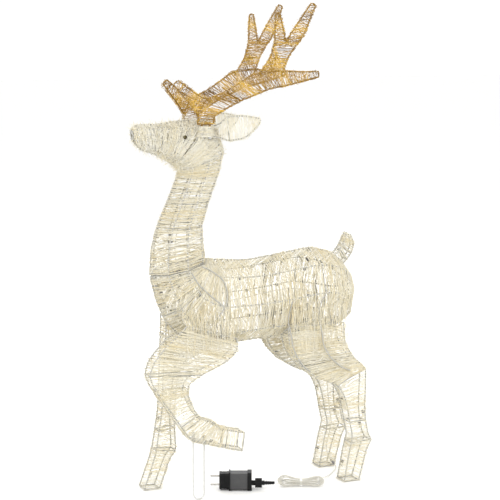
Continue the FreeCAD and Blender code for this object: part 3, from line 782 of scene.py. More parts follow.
class Skein:
    """Gathers threads and turns them into meshes of round yarn."""

    MOST_FACES = 90_000
    """How many faces one piece may have."""

    TAPER = 0.15
    """The share of its radius that a thread has at a free end."""

    def __init__(self, sides: int = 4) -> None:
        """Start with no thread.

        Args:
            sides: How many sides a thread's section has.
        """
        self.sides = sides
        self.points: list[np.ndarray] = []
        self.faces: list[np.ndarray] = []
        self.tones: list[np.ndarray] = []
        self.count = 0
        self.face_count = 0
        self.done: list[tuple[np.ndarray, np.ndarray, np.ndarray]] = []

    def add(self, line: np.ndarray, normal: np.ndarray, radius: float, tone: float, closed: bool) -> None:
        """Add one thread.

        Args:
            line: The points that it follows.
            normal: The normal of the plane that it roughly lies in.
            radius: Its radius in metres.
            tone: Its own tone, from 0, pale, to 1, warm.
            closed: Whether its end meets its start.
        """
        count = len(line)
        if closed:
            along = np.roll(line, -1, axis=0) - np.roll(line, 1, axis=0)
        else:
            along = np.gradient(line, axis=0)
        along /= np.linalg.norm(along, axis=1)[:, None]
        side = np.cross(along, normal)
        side /= np.linalg.norm(side, axis=1)[:, None]
        up = np.cross(side, along)
        radii = np.full(count, radius)
        if not closed:
            radii[[0, -1]] = radius * self.TAPER
        angles = np.arange(self.sides) * (2 * math.pi / self.sides)
        cosines, sines = np.cos(angles)[None, :, None], np.sin(angles)[None, :, None]
        ring = cosines * side[:, None, :] + sines * up[:, None, :]
        points = line[:, None, :] + ring * radii[:, None, None]
        steps = np.arange(count if closed else count - 1)[:, None]
        corners = np.arange(self.sides)[None, :]
        here = steps * self.sides
        there = (steps + 1) % count * self.sides
        beside = (corners + 1) % self.sides
        around = (here + corners, there + corners, there + beside, here + beside)
        faces = np.stack(around, axis=-1).reshape(-1, 4)
        if self.face_count + len(faces) > self.MOST_FACES:
            self.close()
        self.points.append(points.reshape(-1, 3))
        self.faces.append(faces + self.count)
        self.tones.append(np.full(count * self.sides, tone))
        self.count += count * self.sides
        self.face_count += len(faces)

    def close(self) -> None:
        """Finish one mesh's worth of thread, so that no piece grows too large."""
        if self.points:
            self.done.append(tuple(np.concatenate(part) for part in (self.points, self.faces, self.tones)))
        self.points, self.faces, self.tones = [], [], []
        self.count = self.face_count = 0

    def wind(self, name: str) -> list[bpy.types.Object]:
        """Make the pieces.

        Args:
            name: What the first piece is called; the others have a number added.

        Returns:
            The pieces.
        """
        self.close()
        pieces = []
        for number, (points, faces, tones) in enumerate(self.done):
            title = name if number == 0 else f"{name}_{number + 1}"
            mesh = bpy.data.meshes.new(title)
            mesh.vertices.add(len(points))
            mesh.vertices.foreach_set("co", points.astype(np.float32).ravel())
            mesh.loops.add(len(faces) * 4)
            mesh.loops.foreach_set("vertex_index", faces.astype(np.int32).ravel())
            mesh.polygons.add(len(faces))
            mesh.polygons.foreach_set("loop_start", np.arange(0, len(faces) * 4, 4, dtype=np.int32))
            mesh.polygons.foreach_set("use_smooth", np.ones(len(faces), dtype=bool))
            mesh.update(calc_edges=True)
            mesh.attributes.new("tone", "FLOAT", "POINT").data.foreach_set("value", tones.astype(np.float32))
            piece = bpy.data.objects.new(title, mesh)
            bpy.context.scene.collection.objects.link(piece)
            pieces.append(piece)
        return pieces


@dataclass
class Winding:
    """Thread wound round one frame: turns that follow its hoops, and slanted ones that cross them."""

    node: str
    body: str
    courses: Sequence[Course]
    y: float = 0.0
    splay: float = 0.0
    splay_from: float = 0.0
    pitch: float = 1.5
    slant: float = 10.0
    lean: float = 0.05
    crossings: float = 0.35
    over: tuple[float, float] = (0.6, 2.2)
    under: tuple[float, float] = (2.6, 4.2)
    beneath: float = 0.5
    flatten: float = 1.0
    radius: float = 0.46
    reach: float = 400.0
    longest: float = 400.0
    step: float = 14.0
    wander: float = 1.1
    flare: float = 0.0
    frayed: float = 1.2
    fray: tuple[float, float] = (3.0, 7.0)
    warmth: float = 0.35
    finish: Finish = Finish.CREAM
    slot: str = "cream_thread"
    name: str = ""
    replaces: bool = True
    rng: np.random.Generator = field(init=False, repr=False)
    edges: tuple[np.ndarray, np.ndarray, np.ndarray] = field(init=False, repr=False)

    MARGIN: ClassVar[float] = 0.4
    """How far the first and last turns stay from the winding's ends."""

    CROWDS: ClassVar[tuple[tuple[float, float], ...]] = ((0.28, 17.0), (0.22, 7.3))
    """How strongly the turns crowd and thin out, and over what length, for each wave of crowding."""

    CLOSEST: ClassVar[float] = 0.9
    """Points of a turn nearer than this are merged."""

    WAVES: ClassVar[tuple[tuple[float, int], ...]] = ((0.5, 2), (0.35, 5))
    """How far a turn wanders from its plane, as a share of wander, and how many times in one round."""

    UNEVEN: ClassVar[tuple[float, float]] = (0.85, 0.3)
    """The thinnest thread's share of the radius, and how much more the thickest one may have."""

    CURL: ClassVar[float] = 0.35
    """How far a loose end curls aside, as a share of its length."""

    LOOSE_PLACES: ClassVar[tuple[float, ...]] = (0.0, 0.4, 0.75, 1.0)
    """Where a loose end's points lie along it."""

    PALER: ClassVar[float] = 0.15
    """How much paler a crossing thread's tone is than its turn's."""

    def __post_init__(self) -> None:
        """Seed the winding's own variation from its name, and measure its edges."""
        self.rng = np.random.default_rng(sum(ord(c) * (k + 1) for k, c in enumerate(self.node)))
        self.edges = self._line()

    def _line(self) -> tuple[np.ndarray, np.ndarray, np.ndarray]:
        """The two edges that the turns run between, and the distance along their middle.

        Returns:
            Front points, rear points and distances, in millimetres.
        """
        courses = np.array(self.courses, dtype=float)
        front, rear = courses[:, :2], courses[:, 2:]
        runs = np.maximum(*(np.linalg.norm(np.diff(edge, axis=0), axis=1) for edge in (front, rear)))
        return front, rear, np.concatenate(([0.0], np.cumsum(runs)))

    def _at(self, edge: np.ndarray, distance: float) -> np.ndarray:
        """A point on an edge in the deer's middle plane, a little inside the edge's ends.

        Args:
            edge: The front or the rear edge's points.
            distance: How far along the winding the point is, in millimetres.

        Returns:
            Its x and z.
        """
        far = self.edges[2]
        held = min(max(distance, self.MARGIN / 2), far[-1] - self.MARGIN / 2)
        return np.array([np.interp(held, far, edge[:, 0]), np.interp(held, far, edge[:, 1])])

    def _plane(self, front: np.ndarray, rear: np.ndarray, lean: float) -> tuple[np.ndarray, np.ndarray]:
        """The plane through two edge points, leaning sideways.

        Args:
            front: The front point, x and z.
            rear: The rear point.
            lean: How far it leans, as a slope.

        Returns:
            A point on the plane and its normal.
        """
        along = rear - front
        along /= np.linalg.norm(along)
        middle = (front + rear) / 2
        y = self.y + math.copysign(self.splay * (middle[0] - self.splay_from), self.y)
        normal = np.array([-along[1], lean, along[0]])
        return np.array(as_row((middle[0], y, middle[1]))), normal / np.linalg.norm(normal)

    def _settled(self, line: np.ndarray, inward: np.ndarray, normal: np.ndarray, share: float) -> np.ndarray:
        """Sink a turn into the winding, let it wander, and flatten it where the frame is flat.

        Args:
            line: The taut turn.
            inward: The way towards its middle, at each point.
            normal: The normal of its plane.
            share: How far along the winding it lies, from 0 to 1.

        Returns:
            The turn as it lies.
        """
        low, high = self.under if self.rng.random() < self.beneath else self.over
        depth = (low + (high - low) * self.rng.random() - self.flare * (1 - share)) * MM
        phase = self.rng.random(2) * 2 * math.pi
        angle = np.linspace(0, 2 * math.pi, len(line), endpoint=False)
        wander = sum(height * np.sin(angle * times + at) for (height, times), at in zip(self.WAVES, phase))
        line = line + inward * depth + normal * (wander * self.wander * MM)[:, None]
        if self.flatten < 1.0:
            drawn_x = line[:, 0] / MM - DRAWN_TO_ROW[0]
            plane = (self.y + np.copysign(self.splay * (drawn_x - self.splay_from), self.y)) * MM
            line[:, 1] = plane + (line[:, 1] - plane) * self.flatten
        return line

    def _thread(self, former: Former, skein: Skein, place: float, skew: float, lean: float, tone: float,
                part: tuple[float, float] | None = None) -> None:
        """Lay one turn, or a stretch of one.

        Args:
            former: The winding's shape.
            skein: Where the thread goes.
            place: Its distance along the winding, in millimetres.
            skew: How much further along its rear end is than its front end.
            lean: Its sideways lean.
            tone: Its tone.
            part: The share of the turn to lay, or None for all of it.
        """
        front, rear, far = self.edges
        ahead = self._at(front, place - skew / 2)
        behind = self._at(rear, place + skew / 2)
        centre, normal = self._plane(ahead, behind, lean)
        line = former.turn(centre, normal, self.reach * MM)
        if line is None or np.ptp(line, axis=0).max() > self.longest * MM:
            return
        line = stepped(np.vstack((line, line[:1])), self.step * MM, self.CLOSEST * MM)[:-1]
        if len(line) < 4:
            return
        inward = line.mean(axis=0) - line
        inward /= np.linalg.norm(inward, axis=1)[:, None] + 1e-9
        line = self._settled(line, inward, normal, place / far[-1])
        thinnest, more = self.UNEVEN
        radius = self.radius * (thinnest + more * self.rng.random()) * MM
        line[:, 2] = np.maximum(line[:, 2], radius * OFF_FLOOR)
        if part is None:
            skein.add(line, normal, radius, tone, True)
            for _ in range(int(self.frayed + self.rng.random())):
                at = self.rng.integers(len(line))
                self._loose_end(skein, line[at], normal * self.rng.normal(0, 0.7) - inward[at], radius, tone)
            return
        start = int(part[0] * len(line))
        count = max(4, int(part[1] * len(line)))
        picked = np.arange(start, start + count) % len(line)
        skein.add(line[picked], normal, radius, tone, False)

    def _loose_end(self, skein: Skein, start: np.ndarray, way: np.ndarray, radius: float,
                   tone: float) -> None:
        """A short end of thread that sticks out of the winding and curls a little.

        Args:
            skein: Where the thread goes.
            start: The point that it leaves from.
            way: The way that it sticks out.
            radius: The thread's radius.
            tone: Its tone.
        """
        way = way / np.linalg.norm(way)
        across = np.cross(way, (0.3, 0.5, 0.81))
        across /= np.linalg.norm(across)
        curl = np.cross(way, across) * self.rng.normal(0, self.CURL) + across * self.rng.normal(0, self.CURL)
        length = self.rng.uniform(*self.fray) * MM
        share = np.array(self.LOOSE_PLACES)[:, None]
        line = start + way * length * share + curl * length * share ** 2
        line[:, 2] = np.maximum(line[:, 2], radius * OFF_FLOOR)
        skein.add(line, across, radius * 0.8, tone, False)

    def build(self, dresser: Dresser) -> list[bpy.types.Object]:
        """Wind the frame and dress the thread.

        Args:
            dresser: Makes the finish.

        Returns:
            The pieces of thread.
        """
        former = Former(self.node)
        skein = Skein()
        total = self.edges[2][-1]
        beat = self.rng.random(3) * 2 * math.pi
        place = self.MARGIN
        turn_about = 1
        while place < total - self.MARGIN:
            crowd = 0.5
            for (strength, length), phase in zip(self.CROWDS, beat):
                crowd += strength * math.sin(place / length + phase)
            tone = min(1.0, max(0.0, self.warmth * (0.45 + crowd) + self.rng.normal(0, 0.16)))
            turn_about = -turn_about
            skew = turn_about * self.slant * (0.15 + 0.85 * self.rng.random())
            self._thread(former, skein, place, skew, self.rng.normal(0, self.lean), tone)
            if self.rng.random() < self.crossings:
                part = (self.rng.random(), 0.25 + 0.5 * self.rng.random())
                skew = self.rng.choice((-1, 1)) * self.slant * (0.8 + 1.2 * self.rng.random())
                lean = self.rng.normal(0, self.lean * 3)
                self._thread(former, skein, place, skew, lean, max(0.0, tone - self.PALER), part)
            place += self.pitch * (1.35 - 0.7 * crowd) * (0.7 + 0.6 * self.rng.random())
        pieces = skein.wind(self.name or self.node.replace("winding", "thread"))
        for piece in pieces:
            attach(piece, self.body)
            if self.replaces:
                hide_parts(self.node)
            dresser.dress(piece, self.finish)
            LOG.info("%s: %d faces of thread on %s", piece.name, len(piece.data.polygons), self.body)
        return pieces


@dataclass
class Gusset:
    """Thread stretched from the torso's side down over the top of a leg, so that the leg grows out of it."""

    name: str
    leg_node: str
    side: int
    span: tuple[float, float]
    top: tuple[float, float]
    foot: tuple[float, float]
    pitch: float = 1.7
    slant: float = 0.2
    radius: float = 0.46
    inmost: float = 20.0
    shortest: float = 30.0
    longest_run: float = 14.0
    sunk: tuple[float, float] = (0.4, 3.2)
    ripple: float = 0.6

    def _chain(self, formers: Sequence[Former], x: float, tilt: float, top: float, foot: float) -> np.ndarray:
        """The outer line over torso and leg in one upright plane.

        Args:
            formers: The torso's and the leg's shapes.
            x: Where the plane stands at its middle, in metres.
            tilt: How far it slopes along the deer.
            top: The height where the thread starts.
            foot: The height where it ends.

        Returns:
            The line's points from foot to top.
        """
        centre = np.array([x, 0.0, (top + foot) / 2])
        normal = np.array([1.0, 0.0, tilt])
        normal /= np.linalg.norm(normal)
        points = []
        for former in formers:
            ends = former.cuts(centre, normal)
            points.append(ends.reshape(-1, 3))
            for height in (top, foot):
                low, high = ends[:, 0], ends[:, 1]
                hit = (low[:, 2] > height) != (high[:, 2] > height)
                share = (height - low[hit, 2]) / (high[hit, 2] - low[hit, 2])
                points.append(low[hit] + (high[hit] - low[hit]) * share[:, None])
        found = np.concatenate(points)
        out = found[:, 1] * self.side
        keep = (out > self.inmost * MM) & (found[:, 2] > foot - 1e-6) & (found[:, 2] < top + 1e-6)
        found, out = found[keep], out[keep]
        chain: list[int] = []
        for i in np.lexsort((-out, np.round(found[:, 2], 5))).tolist():
            if chain and found[i, 2] - found[chain[-1], 2] < 1e-5:
                continue
            while len(chain) > 1:
                run = found[chain[-1], 2] - found[chain[-2], 2]
                rise = out[chain[-1]] - out[chain[-2]]
                if rise * (found[i, 2] - found[chain[-2], 2]) > (out[i] - out[chain[-2]]) * run:
                    break
                chain.pop()
            chain.append(i)
        return found[chain]

    def build(self, dresser: Dresser) -> list[bpy.types.Object]:
        """Stretch the threads.

        Args:
            dresser: Makes the finish.

        Returns:
            The pieces of thread.
        """
        rng = np.random.default_rng(len(self.name) * 7 + self.side)
        formers = (Former("torso_winding"), Former(self.leg_node))
        skein = Skein()
        x = self.span[0]
        way = 1
        while x < self.span[1]:
            way = -way
            share = (x - self.span[0]) / (self.span[1] - self.span[0])
            top = np.interp(share, (0, 1), self.top) + rng.normal(0, 1.5)
            foot = np.interp(share, (0, 1), self.foot) + rng.normal(0, 5)
            at = as_row((x, 0, 0)).x
            line = self._chain(formers, at, way * self.slant * rng.random(), top * MM, foot * MM)
            x += self.pitch * (0.5 + rng.random())
            if len(line) < 2 or np.ptp(line[:, 2]) < self.shortest * MM:
                continue
            line = stepped(line, self.longest_run * MM)
            least, most = self.sunk
            line[:, 1] -= self.side * (least + (most - least) * rng.random()) * MM
            line[:, 0] += self.ripple * MM * np.sin(np.linspace(0, 6, len(line)) + rng.random() * 6)
            tone = min(1.0, max(0.0, rng.normal(0.4, 0.2)))
            radius = self.radius * (0.85 + 0.3 * rng.random()) * MM
            skein.add(line, np.array([1.0, 0.0, 0.1]), radius, tone, False)
        pieces = skein.wind(self.name)
        for piece in pieces:
            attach(piece, "deer")
            dresser.dress(piece, Finish.CREAM)
            LOG.info("%s: %d faces of thread", piece.name, len(piece.data.polygons))
        return pieces


@dataclass
class SideWire:
    """A bent wire on the torso's side, over a shoulder or a haunch."""

    name: str
    leg_node: str
    side: int
    bends: Sequence[tuple[float, float]]
    radius: float = 1.3
    proud: float = 0.5
    step: float = 4.0
    outside: float = 300.0

    def _line(self) -> np.ndarray:
        """The wire's middle line, pressed onto the torso and the leg.

        Returns:
            Its points, in metres.
        """
        corners, faces = [], []
        for node in ("torso_winding", self.leg_node):
            former = Former(node)
            faces += (former.triangles + len(corners)).tolist()
            corners += former.points.tolist()
        tree = BVHTree.FromPolygons(corners, faces)
        bends = np.array(self.bends)
        far = np.concatenate(([0.0], np.cumsum(np.linalg.norm(np.diff(bends, axis=0), axis=1))))
        places = np.linspace(0, far[-1], max(8, int(far[-1] / self.step)))
        flat = np.column_stack([np.interp(places, far, bends[:, k]) for k in (0, 1)])
        line = []
        for x, z in smoothed(flat, 4):
            at = as_row((x, self.side * self.outside, z))
            hit = tree.ray_cast(at, Vector((0.0, -self.side, 0.0)))[0]
            if hit is not None:
                line.append((hit.x, hit.y + self.side * self.proud * MM, hit.z))
        points = np.array(line)
        points[:, 1] = smoothed(points[:, 1], 6)
        return points

    def build(self, dresser: Dresser) -> bpy.types.Object:
        """Bend the wire and dress it.

        Args:
            dresser: Makes the finish.

        Returns:
            The wire.
        """
        skein = Skein(sides=8)
        skein.add(self._line(), np.array([0.0, 1.0, 0.0]), self.radius * MM, 0.0, False)
        wire = skein.wind(self.name)[0]
        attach(wire, "deer")
        dresser.dress(wire, Finish.WIRE)
        LOG.info("%s: %d faces of wire", wire.name, len(wire.data.polygons))
        return wire


# ---------------------------------------------------------------- the deer's sections


@dataclass
class Deer:
    """Torso, legs and tail: wire frames and their thread."""

    torso: Sequence[Course] = (
        (-224, 461, -105, 490), (-214, 420, -101.5, 489.5), (-197, 376, -98, 489), (-167, 339, -94.5, 488.6),
        (-127, 317, -90.5, 488.3), (-85, 307, -86, 488), (-12, 314, -12, 482), (61, 316, 61, 491),
        (135, 325, 135, 501), (184, 323, 184, 488), (213, 337, 213, 464), (233, 396, 233, 421),
    )
    thigh: Sequence[Course] = (
        (50, 338, 178, 340), (54, 305, 182, 306), (68, 278, 194, 284), (90, 254, 207, 267),
        (124, 232, 221, 256), (168, 214, 234, 243),
    )
    shank: Sequence[Course] = (
        (169, 213, 234.5, 241), (184, 189, 234, 200), (192, 160, 232, 164), (197, 130, 235, 130),
        (204, 100, 241, 101), (201, 84, 249, 87), (197, 70, 238, 69), (184, 1, 219, 1),
    )
    arm: Sequence[Course] = (
        (-174, 360, -66, 326), (-175, 338, -62, 309), (-177, 305, -91, 287), (-179, 272, -140, 266),
    )
    foreleg: Sequence[Course] = (
        (-179, 270, -141, 264), (-181, 230, -150, 228), (-184, 166, -157, 166), (-191, 123, -157, 128),
        (-198, 82, -154, 79), (-202, 67, -168, 64), (-226, 1, -192, 1),
    )
    lifted_arm: Sequence[Course] = (
        (-174, 360, -66, 326), (-198, 346, -64, 309), (-227, 321, -90, 287), (-247, 296, -118, 276),
        (-254, 272, -142, 266),
    )
    lifted_foreleg: Sequence[Course] = (
        (-254.3, 270.5, -142.5, 264.5), (-246, 250, -170, 250), (-225, 218, -174, 229),
        (-200, 181, -159, 193), (-180, 152, -144, 173), (-164, 130, -116, 164),
    )
    lifted_hoof: Sequence[Course] = (
        (-162.5, 129, -114.5, 163), (-131, 121, -106, 150), (-90, 108, -84, 144), (-53, 98, -48, 135),
    )
    tail: Sequence[Course] = (
        (195, 484, 211, 462), (204, 494, 219, 471), (209, 503, 231, 484), (215, 513, 237, 503),
        (221, 529, 230, 524),
    )
    leg_y: float = 59.0
    shoulder_front_wire: Sequence[tuple[float, float]] = (
        (-163, 482), (-145, 449), (-120, 424), (-93, 401), (-111, 376), (-131, 352),
    )
    shoulder_rear_wire: Sequence[tuple[float, float]] = (
        (-144, 488), (-115, 476), (-91, 457), (-84, 428), (-93, 402),
    )
    haunch_front_wire: Sequence[tuple[float, float]] = (
        (56, 405), (51, 375), (52, 343), (59, 306), (71, 280), (88, 259), (102, 250),
    )
    haunch_rear_wire: Sequence[tuple[float, float]] = (
        (137, 424), (123, 396), (122, 358), (129, 306), (146, 277), (172, 254), (196, 244),
    )
    hip: Sequence[tuple[float, float]] = ((56, 190), (404, 396), (290, 292))
    shoulder_top: tuple[float, float] = (396, 400)
    shoulders: Sequence[tuple[str, int, tuple[float, float], tuple[float, float]]] = (
        ("right", 1, (-166, -72), (300, 296)), ("left", -1, (-176, -72), (306, 300)),
    )

    def build(self, dresser: Dresser) -> None:
        """Wind every section and dress the wires.

        Args:
            dresser: Makes the finishes.
        """
        Winding(
            "torso_winding", "deer", self.torso, pitch=1.45, beneath=0.42, slant=15, lean=0.06, crossings=0.6,
            step=16, frayed=2.2,
        ).build(dresser)
        for side, sign in SIDES:
            self._hind_leg(side, sign * self.leg_y, dresser)
        self._front_legs(dresser)
        Winding(
            "tail_winding", "deer", self.tail, pitch=1.9, slant=5, reach=30, over=(1.6, 2.6),
        ).build(dresser)
        for side, sign in SIDES:
            self._haunch_and_shoulder(side, sign, dresser)
        for side, sign, span, foot in self.shoulders:
            Gusset(
                f"shoulder_thread_{side}", f"front_arm_winding_{side}", sign, span, self.shoulder_top, foot,
            ).build(dresser)
        dresser.dress_nodes(
            Finish.WIRE, "torso_rails", "torso_hoops", "hind_leg_frame_left", "hind_leg_frame_right",
            "front_leg_frame_left", "front_leg_frame_right", "tail_frame",
        )
        dresser.dress_nodes(Finish.PROP_WIRE, "prop")
        dresser.dress_nodes(Finish.SLEEVE, "post_sleeves", "prop_sleeves")

    def _hind_leg(self, side: str, y: float, dresser: Dresser) -> None:
        """Wind one hind leg.

        Args:
            side: Left or right.
            y: The leg's place across the deer.
            dresser: Makes the finish.
        """
        Winding(
            f"hind_thigh_winding_{side}", "deer", self.thigh, y, pitch=1.8, slant=13, crossings=0.5,
            beneath=0.75,
        ).build(dresser)
        Winding(
            f"hind_shank_winding_{side}", "deer", self.shank, y, pitch=2.2, slant=9, beneath=0.7,
        ).build(dresser)

    def _front_legs(self, dresser: Dresser) -> None:
        """Wind the standing right front leg and the lifted left one.

        Args:
            dresser: Makes the finish.
        """
        y = self.leg_y
        Winding(
            "front_arm_winding_right", "deer", self.arm, y, pitch=1.9, slant=13, crossings=0.5, beneath=0.75,
        ).build(dresser)
        Winding(
            "front_shank_winding_right", "deer", self.foreleg, y, pitch=2.2, slant=9,
        ).build(dresser)
        Winding(
            "front_arm_winding_left", "deer", self.lifted_arm, -y, pitch=1.9, slant=15, crossings=0.5,
            beneath=0.75,
        ).build(dresser)
        Winding(
            "front_shank_winding_left", "deer", self.lifted_foreleg, -y, pitch=2.1, slant=10,
        ).build(dresser)
        Winding(
            "front_hoof_winding_left", "deer", self.lifted_hoof, -y, pitch=2.2, slant=9,
        ).build(dresser)

    def _haunch_and_shoulder(self, side: str, sign: int, dresser: Dresser) -> None:
        """Stretch the thread over one hip and bend the four wires of that side.

        Args:
            side: Left or right.
            sign: The side's sign across the deer.
            dresser: Makes the finishes.
        """
        thigh, arm = f"hind_thigh_winding_{side}", f"front_arm_winding_{side}"
        Gusset(f"hip_thread_{side}", thigh, sign, *self.hip, pitch=1.4).build(dresser)
        for name, node, bends, proud in (
            ("shoulder_front_wire", arm, self.shoulder_front_wire, 0.5),
            ("shoulder_rear_wire", arm, self.shoulder_rear_wire, 0.5),
            ("haunch_front_wire", thigh, self.haunch_front_wire, 1.3),
            ("haunch_rear_wire", thigh, self.haunch_rear_wire, 1.3),
        ):
            SideWire(f"{name}_{side}", node, sign, bends, proud=proud).build(dresser)


@dataclass
class HeadAndNeck:
    """The head and neck, their thread, the ears and the eyes."""

    neck: Sequence[Course] = (
        (-224.9, 464.5, -105.9, 493.5), (-222.5, 512, -110, 528), (-209, 562, -113, 562),
        (-187, 610, -97, 611), (-165, 662, -77, 660), (-162, 677, -63, 708),
    )
    head: Sequence[Course] = (
        (-162, 677, -63, 708), (-165, 682, -77, 752), (-172, 687, -110, 776), (-190, 698, -160, 774),
        (-206, 707, -202, 768), (-243, 720, -247, 768), (-258, 736, -261, 760),
    )
    ear: Sequence[Course] = (
        (-89, 770, -89, 741), (-74, 783, -70, 735), (-40, 785, -34, 740), (-6, 778, -5, 771),
    )
    collar: Sequence[Course] = ((-134, 742, -102, 742), (-134, 767, -102, 767))
    collar_y: float = 40.5
    ear_y: float = 47.0
    ear_splay: float = 0.12
    ear_root_x: float = -89.0

    def build(self, dresser: Dresser) -> None:
        """Wind the neck, the head and the ears, and dress the wires.

        Args:
            dresser: Makes the finishes.
        """
        Winding("neck_winding", "head", self.neck, pitch=1.4, slant=11, crossings=0.5).build(dresser)
        Winding(
            "head_winding", "head", self.head, pitch=1.1, slant=11, lean=0.12, crossings=0.9, beneath=0.2,
            warmth=0.2, frayed=6.0, fray=(4.0, 12.0),
        ).build(dresser)
        for side, sign in SIDES:
            Winding(
                "antler_sleeves", "head", self.collar, sign * self.collar_y, pitch=0.9, slant=4,
                over=(-0.9, 0.2), beneath=0.0, reach=22, warmth=0.3, step=5, wander=0.6, flare=8.0,
                replaces=False, name=f"antler_collar_thread_{side}",
            ).build(dresser)
            Winding(
                f"ear_winding_{side}", "head", self.ear, sign * self.ear_y, self.ear_splay, self.ear_root_x,
                pitch=2.1, slant=7, over=(0.3, 1.3), beneath=0.0, flatten=0.6, reach=45, warmth=0.1, step=6,
            ).build(dresser)
        dresser.dress_nodes(
            Finish.WIRE, "head_neck_rails", "head_neck_hoops", "ear_frame_left", "ear_frame_right",
        )
        dresser.dress_nodes(Finish.SLEEVE, "antler_sleeves")
        dresser.dress_nodes(Finish.EYE, "eye_beads")


@dataclass
class Antlers:
    """Two branched antlers of gold wire, wound with gold thread."""

    limbs: Sequence[Sequence[Course]] = (
        (
            (-134, 769, -102, 769), (-133, 787, -101, 785), (-119, 817, -77, 799), (-77, 833, -47, 815),
            (-47, 851, -16, 827), (-18, 869, 10, 838), (36, 874, 45, 844), (76, 871, 77, 852),
            (114, 872, 114, 861),
        ),
        ((-106, 812, -131, 782), (-136, 828, -145, 803), (-173, 856, -182, 848)),
        ((-12, 862, 36, 864), (14, 899, 48, 898), (23, 929, 69, 929)),
        ((44, 927, 69, 927), (58, 951, 83, 946), (77, 979, 93, 972), (98, 1009, 107, 1005)),
        ((23, 927, 46, 927), (23, 957, 40, 957), (25, 988, 33, 989)),
    )
    names: Sequence[str] = ("beam", "front_tine", "branch", "rear_fork", "front_fork")
    y: float = 41.0
    splay: float = 0.17
    foot_x: float = -115.0

    def build(self, dresser: Dresser) -> None:
        """Wind every limb of both antlers and dress the wires.

        Args:
            dresser: Makes the finishes.
        """
        for side, sign in SIDES:
            for name, limb in zip(self.names, self.limbs):
                Winding(
                    f"antler_winding_{side}", f"{side}_antler", limb, sign * self.y, self.splay, self.foot_x,
                    pitch=2.5, slant=8, lean=0.1, crossings=0.6, over=(0.3, 1.4), beneath=0.0, flatten=0.55,
                    reach=30, longest=95, step=6, wander=0.6, warmth=0.6, frayed=0.8, fray=(2.0, 5.0),
                    finish=Finish.GOLD_THREAD, slot="gold_thread", name=f"antler_{name}_thread_{side}",
                ).build(dresser)
            dresser.dress_nodes(Finish.GOLD_WIRE, f"antler_frame_{side}")


@dataclass
class LightString:
    """The LED string inside the frames: bulbs, holders, leads and the plug at the neck."""

    def build(self, dresser: Dresser) -> None:
        """Dress the string's nodes.

        Args:
            dresser: Makes the finishes.
        """
        dresser.dress_nodes(Finish.BULB, "body_bulbs", "head_bulbs")
        dresser.dress_nodes(
            Finish.HOLDER, "body_bulb_holders", "head_bulb_holders", "neck_led_socket", "neck_led_plug",
            "lead_ties", "hoof_lead_clip",
        )
        dresser.dress_nodes(Finish.LEAD, "led_lead_body", "led_lead_head")


@dataclass
class Adapter:
    """The plug-in adapter with its lead plug and coupling nut."""

    def build(self, dresser: Dresser) -> None:
        """Dress the adapter's nodes.

        Args:
            dresser: Makes the finishes.
        """
        dresser.dress_nodes(
            Finish.BLACK, "plug_housing", "adapter_flange", "adapter_end_cap", "output_socket",
            "coupling_nut", "lead_plug", "lead_plug_tail",
        )
        dresser.dress_nodes(Finish.GREY, "adapter_shell")
        dresser.dress_nodes(Finish.NICKEL, "mains_pins")
        dresser.dress_nodes(Finish.BOARD, "circuit_board")
        dresser.dress_nodes(Finish.FERRITE, "transformer")


